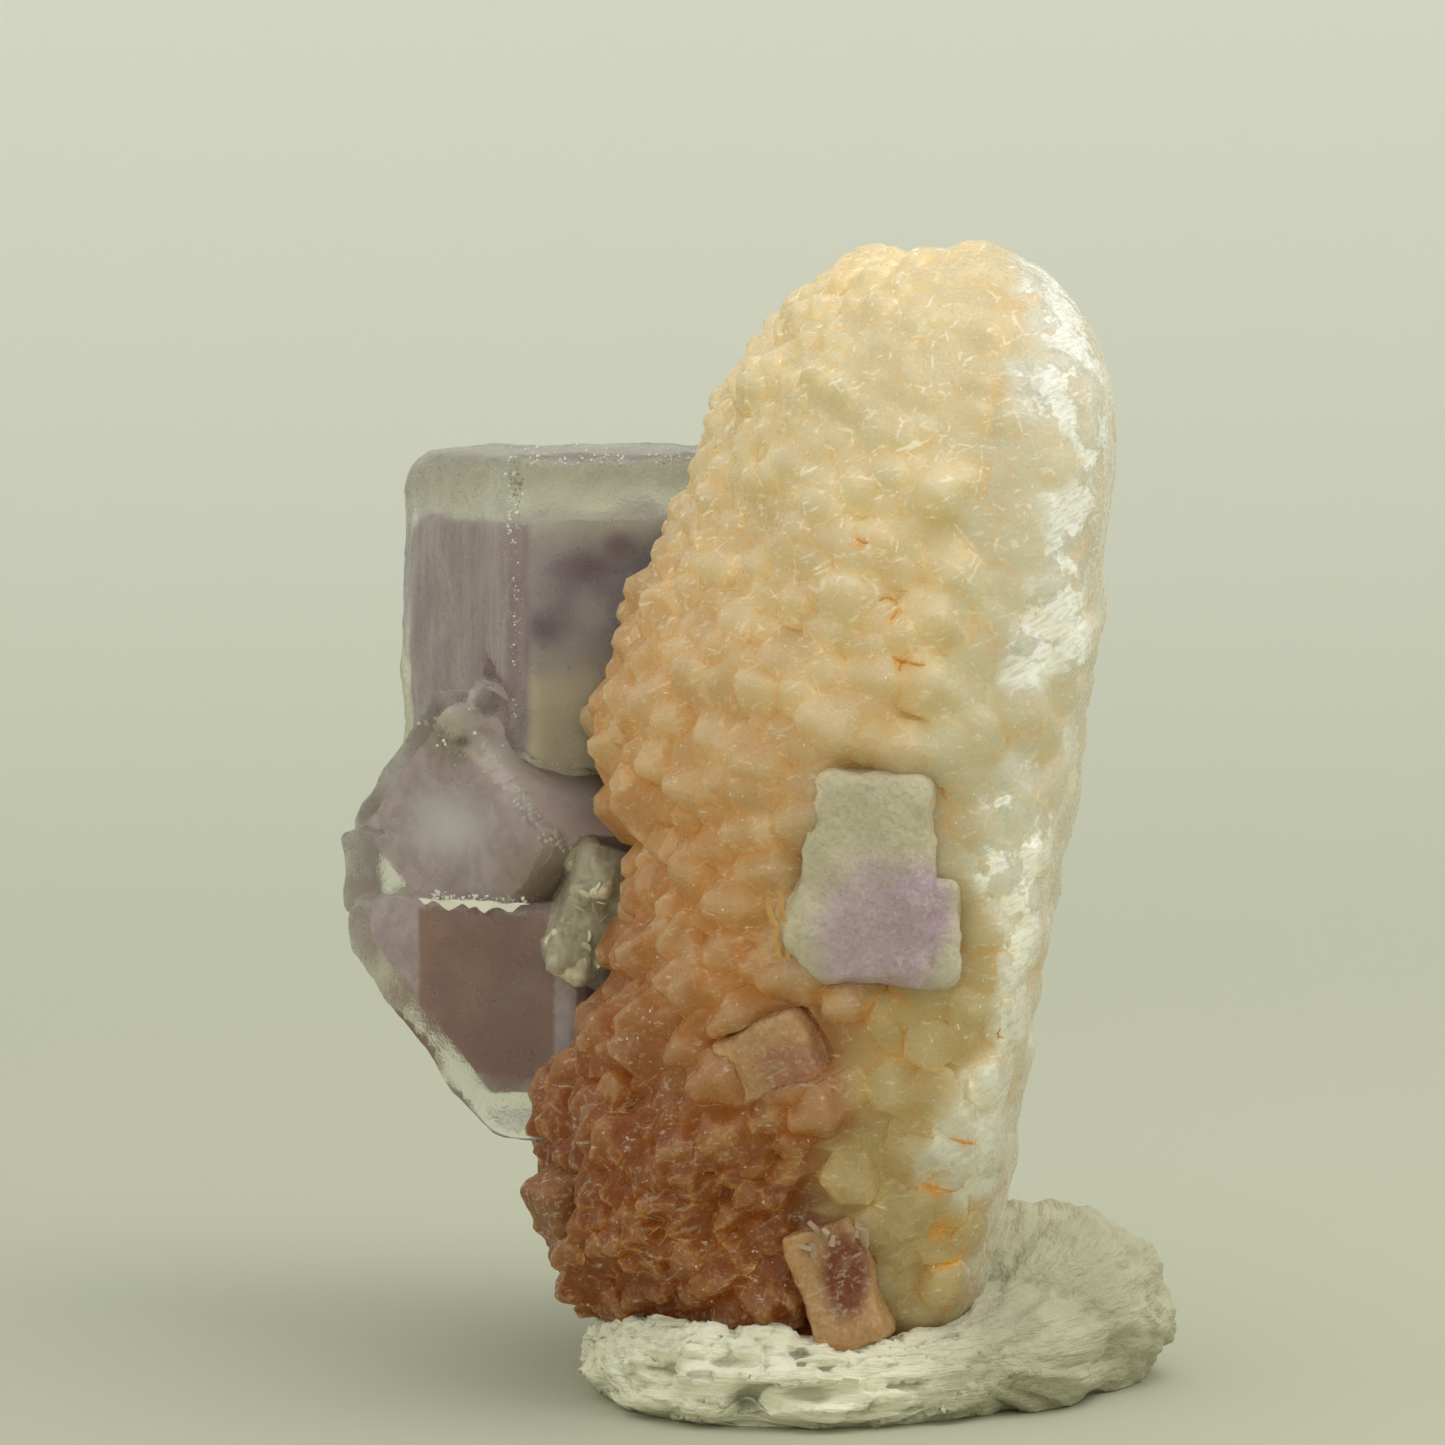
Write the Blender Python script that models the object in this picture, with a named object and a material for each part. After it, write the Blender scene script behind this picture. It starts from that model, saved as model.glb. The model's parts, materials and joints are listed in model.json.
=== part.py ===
"""Phantom fluorite on quartz: a leaning quartz plate with a crust of points, fluorite crystals grown
on it, and the lump of putty that holds it upright.

The tables are in millimetres, and the model is in metres with +Z up. Z is measured from the flat
underside of the putty. X runs from the crusted front of the plate (left) to its flat back (right),
and Y runs from the plate's broken near edge to its far edge.
"""

import math
import random

import bmesh
import bpy
import numpy as np
from mathutils import Euler, Matrix, Vector

MM = 0.001
GAP = 0.3  # left between pieces that touch

# The quartz plate, level by level: height, then its reach to the left, right, near and far side
PLATE_LEVELS = (
    (2.0, -2.5, 8.5, -7.0, 9.0),
    (3.5, -7.0, 10.8, -9.5, 12.5),
    (6.0, -10.0, 12.2, -11.5, 16.0),
    (10.0, -11.2, 13.1, -13.0, 19.5),
    (14.0, -11.2, 13.7, -14.0, 21.5),
    (20.0, -8.0, 14.6, -14.8, 23.0),
    (28.0, -6.0, 16.1, -15.0, 24.0),
    (36.0, -8.0, 17.5, -15.0, 24.0),
    (44.0, -5.2, 18.4, -14.5, 23.0),
    (50.0, -2.8, 18.9, -13.5, 21.0),
    (54.0, -1.2, 18.8, -12.0, 18.5),
    (57.2, 1.0, 17.4, -10.0, 15.5),
    (59.4, 3.6, 15.4, -7.5, 11.5),
    (60.8, 6.0, 12.6, -4.0, 7.0),
)
BACK_SHARE = 0.45  # part of the plate's thickness that belongs to the squared-off back
BACK_POWER = 0.35  # under 1 is squarer than an ellipse
FRONT_POWER = 0.85
RING_POINTS = 32

# The crust of quartz points
CRUST_LOW = 8.0
CRUST_HIGH = 60.0
CRUST_SPACING = 4.0
CRUST_FAR_TURN = 80  # degrees round the plate, from the back by the far side
CRUST_NEAR_TURN = 266
CRUST_NEAR_RISE = 15  # how much further round the crust reaches at the top
CRUST_HUB = Vector((13.0, 3.0, 33.0))  # the points fan out from here
POINT_RADIUS = (2.2, 2.9)
POINT_BURIED = 2.6
POINT_COLLAR = 0.3  # straight sides that show above the plate
POINT_CLEARANCE = 0.7  # from a point's middle to a fluorite crystal
TIP_SLOPE = 0.68  # tip height over radius
TIP_LEAN = 0.35  # most that a tip stands off its crystal's axis, over radius
SEED = 11

# Fluorite crystals: blocks of centre, size and rotation in degrees, fused into one solid each
FLUORITES = {
    "upper_fluorite": [((-8.8, 17.5, 41.1), (17.5, 19.5, 18.0), (0, 0, 22))],
    "lower_fluorite": [
        ((-13.0, 11.2, 29.0), (12.6, 11.6, 12.0), (92, 43, -42)),
        ((-13.7, 9.9, 19.1), (15.0, 11.0, 13.0), (0, 0, -30)),
        ((-18.4, 11.4, 26.6), (7.4, 7.0, 5.0), (0, 0, -30)),
        ((-8.9, 3.4, 25.0), (4.2, 5.0, 7.5), (0, 18, 12)),
        ((-14.4, 8.6, 35.4), (4.0, 4.0, 4.0), (20, 30, 15)),
    ],
    "face_fluorite": [
        ((5.5, -12.8, 28.7), (7.5, 7.0, 11.2), (0, 2, -6)),
        ((8.6, -12.6, 25.9), (3.9, 6.6, 5.6), (0, 2, -2)),
    ],
    "middle_fluorite": [((1.1, -12.4, 19.6), (5.2, 5.4, 3.9), (8, -24, -20))],
    "foot_fluorite": [((4.5, -11.2, 7.2), (3.9, 5.4, 6.6), (0, -18, -12))],
    "corner_fluorite": [((-9.9, -4.0, 10.0), (3.8, 4.4, 4.2), (0, -25, 24))],
}
# Cleavage planes that cut a corner off a crystal: a point on the plane, and the side that is lost
CLEAVAGE = {
    "lower_fluorite": [((-18.9, 6.0, 17.9), (-0.77, 0.0, -0.64))],
    "face_fluorite": [
        ((2.4, -12.8, 30.2), (-0.97, 0.0, 0.24)),
        ((2.7, -12.8, 24.8), (-0.81, 0.0, -0.58)),
    ],
}
EDGE_WEAR = 0.45  # bevel along the crystals' edges

# The putty: a pad, a lump behind the plate's back, and a rolled strand round the foot
PAD = ((2.0, 1.5, 1.0), (11.5, 14.0, 2.6))  # centre and half sizes
LUMPS = (
    ((15.6, 2.0, 3.4), (7.1, 9.0, 5.9)),
    ((13.5, -5.0, 2.4), (5.5, 6.5, 3.8)),
)
STRAND = (  # a point and the strand's radius there
    ((14.0, 6.0, 2.6), 2.2),
    ((8.0, 13.0, 1.8), 2.2),
    ((1.0, 14.0, 1.6), 2.0),
    ((-5.6, 10.0, 1.4), 1.8),
    ((-7.8, 2.0, 1.4), 1.7),
    ((-6.9, -6.0, 2.0), 2.2),
    ((-3.5, -12.3, 2.4), 2.7),
    ((2.5, -13.6, 2.0), 2.4),
    ((8.0, -12.6, 1.8), 2.1),
    ((13.0, -8.5, 2.6), 2.8),
)

COLOURS = {
    "quartz_plate": ((0.80, 0.52, 0.30, 1.0), 0.38),
    "upper_fluorite": ((0.36, 0.29, 0.44, 1.0), 0.25),
    "lower_fluorite": ((0.31, 0.23, 0.38, 1.0), 0.25),
    "face_fluorite": ((0.56, 0.48, 0.56, 1.0), 0.45),
    "middle_fluorite": ((0.58, 0.42, 0.42, 1.0), 0.45),
    "foot_fluorite": ((0.46, 0.33, 0.36, 1.0), 0.35),
    "corner_fluorite": ((0.38, 0.26, 0.22, 1.0), 0.35),
    "mounting_putty": ((0.66, 0.65, 0.55, 1.0), 0.75),
}


def clear_scene():
    for leftover in list(bpy.data.objects):
        bpy.data.objects.remove(leftover, do_unlink=True)


def new_collection(name, shown=True):
    collection = bpy.data.collections.new(name)
    collection.hide_render = not shown
    bpy.context.scene.collection.children.link(collection)
    return collection


def finish_material(name):
    colour, roughness = COLOURS[name]
    material = bpy.data.materials.new(name + "_finish")
    material.use_nodes = True
    shader = material.node_tree.nodes["Principled BSDF"]
    shader.inputs["Base Color"].default_value = colour
    shader.inputs["Roughness"].default_value = roughness
    shader.inputs["Metallic"].default_value = 0.0
    return material


def object_from(bm, name, collection):
    """A mesh object made from a bmesh in millimetres."""
    bmesh.ops.recalc_face_normals(bm, faces=bm.faces)
    if bm.calc_volume(signed=True) < 0:
        bmesh.ops.reverse_faces(bm, faces=bm.faces)
    bmesh.ops.scale(bm, vec=Vector((MM, MM, MM)), verts=bm.verts)
    mesh = bpy.data.meshes.new(name)
    bm.to_mesh(mesh)
    bm.free()
    made = bpy.data.objects.new(name, mesh)
    collection.objects.link(made)
    return made


def add_helper(bm, name, helpers):
    helper = object_from(bm, name, helpers)
    helper.hide_render = True
    helper.display_type = "WIRE"
    return helper


def add_boolean(target, operation, operand, solver="EXACT"):
    """A Boolean with one object, or with every object of a collection."""
    modifier = target.modifiers.new(operation.lower() + "_" + operand.name, "BOOLEAN")
    modifier.solver = solver
    modifier.operation = operation
    if isinstance(operand, bpy.types.Collection):
        modifier.operand_type = "COLLECTION"
        modifier.collection = operand
    else:
        modifier.object = operand


def plate_point(turn, height, grow=0.0):
    """The plate's surface at an angle round it and a height. Half the outline is the squarer back."""
    heights, *reaches = zip(*PLATE_LEVELS)
    left, right, near, far = (np.interp(height, heights, reach) for reach in reaches)
    middle_x = right - BACK_SHARE * (right - left)
    middle_y = (near + far) / 2
    across = math.cos(turn)
    along = math.sin(turn)
    reach = (right - middle_x if across > 0 else middle_x - left) + grow
    power = BACK_POWER if across > 0 else FRONT_POWER
    x = middle_x + reach * math.copysign(abs(across) ** power, across)
    y = middle_y + ((far - near) / 2 + grow) * math.copysign(abs(along) ** power, along)
    return Vector((x, y, height))


def plate_normal(turn, height):
    step = 0.02
    round_it = plate_point(turn + step, height) - plate_point(turn - step, height)
    up_it = plate_point(turn, height + 1.0) - plate_point(turn, height - 1.0)
    return round_it.cross(up_it).normalized()


def plate_body(levels, grow=0.0):
    """A loft through the plate's sections, closed at both ends."""
    bm = bmesh.new()
    rings = []
    for height in levels:
        turns = [math.tau * i / RING_POINTS for i in range(RING_POINTS)]
        corners = [bm.verts.new(plate_point(turn, height, grow)) for turn in turns]
        rings.append([bm.edges.new((corners[i - 1], corners[i])) for i in range(RING_POINTS)])
    for lower, upper in zip(rings, rings[1:]):
        bmesh.ops.bridge_loops(bm, edges=lower + upper)
    for ring in (rings[0], rings[-1]):
        bmesh.ops.contextual_create(bm, geom=ring)
    return bm


def crust_row(height):
    """Angles of the points in one row, evenly spaced along the plate's outline."""
    rise = (height - CRUST_LOW) / (CRUST_HIGH - CRUST_LOW)
    start = math.radians(CRUST_FAR_TURN)
    end = math.radians(CRUST_NEAR_TURN + CRUST_NEAR_RISE * rise**2)
    turns = np.linspace(start, end, 200)
    outline = np.array([plate_point(turn, height) for turn in turns])
    along = np.concatenate([[0.0], np.linalg.norm(np.diff(outline, axis=0), axis=1).cumsum()])
    count = max(2, round(along[-1] / CRUST_SPACING))
    return np.interp((np.arange(count) + 0.5) / count * along[-1], along, turns)


def inside_fluorite(place):
    """Whether a place lies in one of the fluorite blocks or close to it, where no quartz point fits."""
    for blocks in FLUORITES.values():
        for centre, size, angles in blocks:
            local = block_matrix(centre, angles).inverted() @ place
            if all(abs(local[i]) < size[i] / 2 + POINT_CLEARANCE for i in range(3)):
                return True
    return False


def quartz_point(radius, lean, matrix):
    """A six-sided quartz crystal with a pyramid for its tip, as a bmesh."""
    bm = bmesh.new()
    length = POINT_BURIED + POINT_COLLAR
    bmesh.ops.create_cone(bm, cap_ends=True, segments=6, radius1=radius, radius2=radius, depth=length)
    top = max(bm.faces, key=lambda face: face.calc_center_median().z)
    tip = bmesh.ops.poke(bm, faces=[top], offset=TIP_SLOPE * radius)["verts"][0]
    tip.co.x += lean * radius
    bm.transform(matrix @ Matrix.Translation((0.0, 0.0, length / 2 - POINT_BURIED)))
    return bm


def add_crust(points):
    """Rows of quartz points over the front, the far edge and the top of the plate."""
    draw = random.Random(SEED)
    rows = int((CRUST_HIGH - CRUST_LOW) / (CRUST_SPACING * 0.87))
    for row in range(rows + 1):
        height = CRUST_LOW + (CRUST_HIGH - CRUST_LOW) * row / rows
        turns = crust_row(height)
        half_step = (turns[1] - turns[0]) / 2 * (row % 2)
        for column, turn in enumerate(turns):
            turn = turn + half_step + draw.uniform(-0.02, 0.02)
            level = height + draw.uniform(-0.7, 0.7)
            radius = draw.uniform(*POINT_RADIUS)
            lean = draw.uniform(0.0, TIP_LEAN)
            twist = Matrix.Rotation(draw.uniform(0.0, math.tau), 4, "Z")
            sway = Vector([draw.uniform(-0.22, 0.22) for _ in range(3)])
            foot = plate_point(turn, level)
            facing = plate_normal(turn, level) + 0.8 * (foot - CRUST_HUB).normalized() + sway
            if inside_fluorite(foot + facing.normalized()):
                continue
            matrix = Matrix.Translation(foot) @ facing.to_track_quat("Z", "Y").to_matrix().to_4x4() @ twist
            add_helper(quartz_point(radius, lean, matrix), f"point_{row}_{column}", points)


def block_matrix(centre, angles):
    return Matrix.Translation(centre) @ Euler([math.radians(a) for a in angles]).to_matrix().to_4x4()


def block(centre, size, angles, grow=0.0):
    """One cube-shaped crystal as a bmesh."""
    bm = bmesh.new()
    bmesh.ops.create_cube(bm, size=1.0)
    bmesh.ops.scale(bm, vec=Vector(size) + Vector((2 * grow,) * 3), verts=bm.verts)
    bm.transform(block_matrix(centre, angles))
    return bm


def cleave(bm, place, lost_side):
    """Cut a corner off along a cleavage plane and close the cut."""
    geometry = bm.verts[:] + bm.edges[:] + bm.faces[:]
    bmesh.ops.bisect_plane(bm, geom=geometry, plane_co=place, plane_no=lost_side, clear_outer=True)
    bmesh.ops.holes_fill(bm, edges=bm.edges)


def fluorite_blocks(name, grow=0.0):
    """The blocks of one crystal: with worn edges, or plain and a little larger for its pocket."""
    for centre, size, angles in FLUORITES[name]:
        bm = block(centre, size, angles, grow)
        for place, lost_side in CLEAVAGE.get(name, []):
            lost_side = Vector(lost_side).normalized()
            cleave(bm, Vector(place) + grow * lost_side, lost_side)
        if not grow:
            bmesh.ops.bevel(bm, geom=bm.edges, offset=EDGE_WEAR, segments=1, affect="EDGES")
        yield bm


def add_fluorite(name, nodes, helpers):
    """A crystal, or several that overlap and so are one solid, and the same a little larger as pockets."""
    first, *others = fluorite_blocks(name)
    crystal = object_from(first, name, nodes)
    for i, bm in enumerate(others):
        add_boolean(crystal, "UNION", add_helper(bm, f"{name}_block_{i}", helpers))
    pockets = [
        add_helper(bm, f"{name}_pocket_{i}", helpers) for i, bm in enumerate(fluorite_blocks(name, GAP))
    ]
    return crystal, pockets


def add_quartz(nodes, helpers, points):
    heights = [level[0] for level in PLATE_LEVELS]
    plate = object_from(plate_body(heights), "quartz_plate", nodes)
    add_crust(points)
    add_boolean(plate, "UNION", points)
    return plate


def ellipsoid(centre, half_sizes):
    bm = bmesh.new()
    bmesh.ops.create_uvsphere(bm, u_segments=18, v_segments=10, radius=1.0)
    bm.transform(Matrix.Translation(centre) @ Matrix.Diagonal((*half_sizes, 1.0)))
    return bm


def putty_strand(helpers):
    """The rolled strand: a bevelled curve, made a mesh so that it can be joined to the pad."""
    curve = bpy.data.curves.new("strand_path", "CURVE")
    curve.dimensions = "3D"
    curve.bevel_depth = 1.0 * MM
    curve.bevel_resolution = 2
    curve.resolution_u = 3
    curve.use_fill_caps = True
    spline = curve.splines.new("NURBS")
    spline.points.add(len(STRAND) - 1)
    spline.use_endpoint_u = True
    spline.order_u = 3
    for point, (place, radius) in zip(spline.points, STRAND):
        point.co = (*(Vector(place) * MM), 1.0)
        point.radius = radius
    path = bpy.data.objects.new("strand_path", curve)
    helpers.objects.link(path)
    bpy.context.view_layer.update()
    graph = bpy.context.evaluated_depsgraph_get()
    mesh = bpy.data.meshes.new_from_object(path.evaluated_get(graph))
    bpy.data.objects.remove(path, do_unlink=True)
    bm = bmesh.new()
    bm.from_mesh(mesh)
    bpy.data.meshes.remove(mesh)
    bmesh.ops.remove_doubles(bm, verts=bm.verts, dist=0.01 * MM)
    bmesh.ops.scale(bm, vec=Vector((1.0, 1.0, 1.0)) / MM, verts=bm.verts)
    return add_helper(bm, "putty_strand", helpers)


def add_putty(nodes, helpers):
    putty = object_from(ellipsoid(*PAD), "mounting_putty", nodes)
    add_boolean(putty, "UNION", putty_strand(helpers))
    for i, lump in enumerate(LUMPS):
        add_boolean(putty, "UNION", add_helper(ellipsoid(*lump), f"putty_lump_{i}", helpers))
    below = block((0.0, 0.0, -10.0), (80.0, 80.0, 20.0), (0, 0, 0))
    add_boolean(putty, "DIFFERENCE", add_helper(below, "below_the_putty", helpers))
    foot = plate_body([level[0] for level in PLATE_LEVELS], GAP)
    add_boolean(putty, "DIFFERENCE", add_helper(foot, "plate_seat", helpers))
    return putty


def main():
    clear_scene()
    nodes = new_collection("phantom_fluorite_on_quartz")
    helpers = new_collection("cutters", shown=False)
    points = new_collection("quartz_points", shown=False)
    plate = add_quartz(nodes, helpers, points)
    putty = add_putty(nodes, helpers)
    crystals = {}
    pockets = {}
    for name in FLUORITES:
        crystals[name], pockets[name] = add_fluorite(name, nodes, helpers)
        for pocket in pockets[name]:
            # The exact solver leaves the tilted block's pocket uncut
            add_boolean(plate, "DIFFERENCE", pocket, solver="MANIFOLD")
    for pocket in pockets["foot_fluorite"]:
        add_boolean(putty, "DIFFERENCE", pocket)
    for pocket in pockets["lower_fluorite"]:
        add_boolean(crystals["upper_fluorite"], "DIFFERENCE", pocket)
    for node in nodes.objects:
        node.data.materials.append(finish_material(node.name))


main()
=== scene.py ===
"""Looks of the phantom fluorite on quartz: the crusted quartz plate, the frosted fluorite crystals with
their purple phantoms, and the kneaded putty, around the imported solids.

Shapes are worked out in millimetres and made in metres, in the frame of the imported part: Z up from the
underside of the putty, X from the crusted front of the plate to its flat back, and Y from its broken
near edge to its far edge.
"""

import json
import math
import random

import bmesh
import bpy
import numpy as np
from mathutils import Euler, Matrix, Vector, kdtree, noise

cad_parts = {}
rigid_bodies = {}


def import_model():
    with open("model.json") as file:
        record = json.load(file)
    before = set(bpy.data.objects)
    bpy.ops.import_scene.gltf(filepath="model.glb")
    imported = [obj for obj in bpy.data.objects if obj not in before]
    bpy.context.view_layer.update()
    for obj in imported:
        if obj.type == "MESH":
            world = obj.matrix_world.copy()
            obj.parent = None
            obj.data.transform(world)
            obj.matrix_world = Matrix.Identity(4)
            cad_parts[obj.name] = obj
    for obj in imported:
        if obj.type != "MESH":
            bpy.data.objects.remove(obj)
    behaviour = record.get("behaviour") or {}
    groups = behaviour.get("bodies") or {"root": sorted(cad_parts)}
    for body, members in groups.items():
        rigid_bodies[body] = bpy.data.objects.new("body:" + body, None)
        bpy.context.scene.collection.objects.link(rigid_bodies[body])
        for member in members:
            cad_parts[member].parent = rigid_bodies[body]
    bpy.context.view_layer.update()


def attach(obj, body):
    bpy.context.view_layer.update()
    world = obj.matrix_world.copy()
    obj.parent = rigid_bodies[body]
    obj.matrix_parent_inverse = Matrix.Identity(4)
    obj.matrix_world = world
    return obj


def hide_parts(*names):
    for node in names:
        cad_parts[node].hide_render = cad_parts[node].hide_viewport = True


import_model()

MM = 0.001
SEED = 11

# The quartz plate, level by level: height, then its reach to the left, right, near and far side
PLATE_LEVELS = (
    (2.0, -2.5, 8.5, -7.0, 9.0),
    (3.5, -7.0, 10.8, -9.5, 12.5),
    (6.0, -10.0, 12.2, -11.5, 16.0),
    (10.0, -11.2, 13.1, -13.0, 19.5),
    (14.0, -11.2, 13.7, -14.0, 21.5),
    (20.0, -8.0, 14.6, -14.8, 23.0),
    (28.0, -6.0, 16.1, -15.0, 24.0),
    (36.0, -8.0, 17.5, -15.0, 24.0),
    (44.0, -5.2, 18.4, -14.5, 23.0),
    (50.0, -2.8, 18.9, -13.5, 21.0),
    (54.0, -1.2, 18.8, -12.0, 18.5),
    (57.2, 1.0, 17.4, -10.0, 15.5),
    (59.4, 3.6, 15.4, -7.5, 11.5),
    (60.8, 6.0, 12.6, -4.0, 7.0),
)
BACK_SHARE = 0.45  # part of the plate's thickness that belongs to the squared-off back
BACK_POWER = 0.35  # under 1 is squarer than an ellipse
FRONT_POWER = 0.85
RING_POINTS = 120
BODY_RINGS = 80
BODY_SHRINK = -0.6  # the crystals' feet lie a little below the plate's outline
# how far the crystals have grown together, by height
BODY_LIFT = ((28.0, 0.1), (38.0, 0.3), (46.0, 0.5), (54.0, 0.8))

# Where the pointed crust ends and the broken side begins: height, and X there
CRUST_EDGE = ((5.0, 3.6), (20.0, 4.2), (27.0, 7.0), (38.0, 9.5), (50.0, 11.0), (58.0, 13.5))
GROWTH_ORIGIN = Vector((30.0, 3.0, 33.0))  # behind the flat back: the points fan out from here
POINT_SIZE = ((4.0, 1.35), (18.0, 1.65), (30.0, 2.0), (42.0, 1.6), (50.0, 1.3), (60.0, 1.15))
POINT_BLUNTNESS = ((28.0, 1.0), (40.0, 0.9), (50.0, 0.8))  # share of the full tip height
POINT_LEAN = ((30.0, 0.3), (48.0, 0.38))  # how much the points follow the ground's own direction

TOP_CALM = ((28.0, 0.0), (40.0, 0.2), (52.0, 0.5))  # share of the relief that is lost, by height
SIDE_CALM = ((22.0, 0.0), (34.0, 0.3), (50.0, 0.6))  # the same on the broken side
BACK_CALM = 0.7
FULL_CREASE = 0.7  # the angle, in radians, from which a crease counts in full
GLASS_SHARE = {"glass": 1.0, "back": 0.3}  # how much of the clear, fractured quartz each zone shows

# Iron stains in the joints of the broken side: place and radius
RUST_SPOTS = (
    ((6.9, -14.5, 21.9), 1.3),
    ((7.1, -14.5, 23.8), 1.0),
    ((7.6, -14.5, 40.0), 0.9),
    ((9.4, -14.5, 32.8), 0.6),
    ((11.5, -14.5, 19.8), 0.8),
    ((10.8, -14.5, 14.8), 0.7),
    ((9.2, -14.5, 12.5), 1.0),
    ((9.5, -14.5, 9.9), 0.8),
    ((10.0, -14.5, 7.3), 1.3),
    ((4.0, -14.5, 22.6), 0.5),
    ((6.6, -12.5, 46.2), 0.8),
    ((5.2, -12.5, 45.9), 0.6),
    ((6.9, -12.5, 42.6), 0.7),
)

# The blocks of each fluorite crystal: centre, size and rotation in degrees
FLUORITES = {
    "upper_fluorite": [((-8.8, 17.5, 41.1), (17.5, 19.5, 18.0), (0, 0, 22))],
    "lower_fluorite": [
        ((-13.0, 11.2, 29.0), (12.6, 11.6, 12.0), (92, 43, -42)),
        ((-13.7, 9.9, 19.1), (15.0, 11.0, 13.0), (0, 0, -30)),
        ((-18.4, 11.4, 26.6), (7.4, 7.0, 5.0), (0, 0, -30)),
        ((-8.9, 3.4, 25.0), (4.2, 5.0, 7.5), (0, 18, 12)),
        ((-14.4, 8.6, 35.4), (4.0, 4.0, 4.0), (20, 30, 15)),
    ],
    "face_fluorite": [
        ((5.5, -12.8, 28.7), (7.5, 7.0, 11.2), (0, 2, -6)),
        ((8.6, -12.6, 25.9), (3.9, 6.6, 5.6), (0, 2, -2)),
    ],
    "middle_fluorite": [((1.1, -12.4, 19.6), (5.2, 5.4, 3.9), (8, -24, -20))],
    "foot_fluorite": [((4.5, -11.2, 7.2), (3.9, 5.4, 6.6), (0, -18, -12))],
    "corner_fluorite": [((-9.9, -4.0, 10.0), (3.8, 4.4, 4.2), (0, -25, 24))],
}
CLEAVAGE = {
    "lower_fluorite": [((-18.9, 6.0, 17.9), (-0.77, 0.0, -0.64))],
    "face_fluorite": [
        ((2.4, -12.8, 30.2), (-0.97, 0.0, 0.24)),
        ((2.6, -12.8, 23.7), (-0.75, 0.0, -0.66)),
    ],
}
SMALL_CRYSTALS = ("face_fluorite", "middle_fluorite", "foot_fluorite")
SHELL_WEAR = {"upper_fluorite": 0.9, "lower_fluorite": 1.0, "face_fluorite": 1.3}  # radius of worn edges
PLAIN_WEAR = 0.6
TIGHT_FIT = -0.35  # the small crystals fill their pockets
SOFT_CORNERS = (((-20.6, 23.3, 50.1), 3.0, 6.0), ((-15.4, 10.0, 37.2), 1.6, 3.0))  # place, radius, reach

# The putty: a pad, a lump behind the plate's back, and a rolled strand round the foot
PAD = ((2.0, 1.5, 1.0), (11.5, 14.0, 2.6))  # centre and half sizes
LUMPS = (
    ((15.6, 2.0, 3.4), (7.1, 9.0, 5.9)),
    ((13.5, -5.0, 2.4), (5.5, 6.5, 3.8)),
)
STRAND = (  # a point and the strand's radius there
    ((14.0, 6.0, 2.6), 2.2),
    ((8.0, 13.0, 1.8), 2.2),
    ((1.0, 14.0, 1.6), 2.0),
    ((-5.6, 10.0, 1.4), 1.8),
    ((-7.8, 2.0, 1.4), 1.7),
    ((-6.9, -6.0, 2.0), 2.2),
    ((-3.5, -12.3, 2.4), 2.7),
    ((2.5, -13.6, 2.0), 2.4),
    ((8.0, -12.6, 1.8), 2.1),
    ((13.0, -8.5, 2.6), 2.8),
)
PUTTY_HOLLOWS = (  # place, radius and depth
    ((-5.3, -13.6, 3.1), 1.0, 1.3),
    ((-0.6, -15.6, 1.1), 1.1, 1.4),
    ((-1.9, -15.0, 4.1), 0.7, 0.7),
    ((2.3, -14.6, 3.9), 0.6, 0.7),
    ((20.8, 2.0, 2.8), 0.8, 1.0),
)


def new_collection(name, shown=True):
    collection = bpy.data.collections.new(name)
    collection.hide_render = not shown
    bpy.context.scene.collection.children.link(collection)
    return collection


looks = new_collection("looks")


def object_from(bm, name, collection=looks, closed=True):
    """A mesh object made from a bmesh in millimetres."""
    if closed:
        bmesh.ops.recalc_face_normals(bm, faces=bm.faces)
        if bm.calc_volume(signed=True) < 0:
            bmesh.ops.reverse_faces(bm, faces=bm.faces)
    bmesh.ops.scale(bm, vec=Vector((MM, MM, MM)), verts=bm.verts)
    mesh = bpy.data.meshes.new(name)
    bm.to_mesh(mesh)
    bm.free()
    made = bpy.data.objects.new(name, mesh)
    collection.objects.link(made)
    return made


def settle(target):
    """Turns the object's modifiers into its mesh."""
    bpy.context.view_layer.update()
    graph = bpy.context.evaluated_depsgraph_get()
    mesh = bpy.data.meshes.new_from_object(target.evaluated_get(graph))
    target.modifiers.clear()
    target.data = mesh


def apply_boolean(target, operation, operand):
    """A Boolean with one object or with all objects of a collection, made at once."""
    modifier = target.modifiers.new(operation.lower(), "BOOLEAN")
    modifier.solver = "MANIFOLD"
    modifier.operation = operation
    if isinstance(operand, bpy.types.Collection):
        modifier.operand_type = "COLLECTION"
        modifier.collection = operand
    else:
        modifier.object = operand
    settle(target)


def remove_collection(collection):
    for thing in list(collection.objects):
        bpy.data.objects.remove(thing, do_unlink=True)
    bpy.data.collections.remove(collection)


def curve_value(table, at):
    """A value between the rows of a table of (position, value)."""
    return float(np.interp(at, [row[0] for row in table], [row[1] for row in table]))


def plate_point(turn, height, grow=0.0):
    """The plate's surface at an angle round it and a height. Half the outline is the squarer back."""
    heights, *reaches = zip(*PLATE_LEVELS)
    left, right, near, far = (np.interp(height, heights, reach) for reach in reaches)
    middle_x = right - BACK_SHARE * (right - left)
    middle_y = (near + far) / 2
    across = math.cos(turn)
    along = math.sin(turn)
    reach = (right - middle_x if across > 0 else middle_x - left) + grow
    power = BACK_POWER if across > 0 else FRONT_POWER
    x = middle_x + reach * math.copysign(abs(across) ** power, across)
    y = middle_y + ((far - near) / 2 + grow) * math.copysign(abs(along) ** power, along)
    return Vector((x, y, height))


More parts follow.
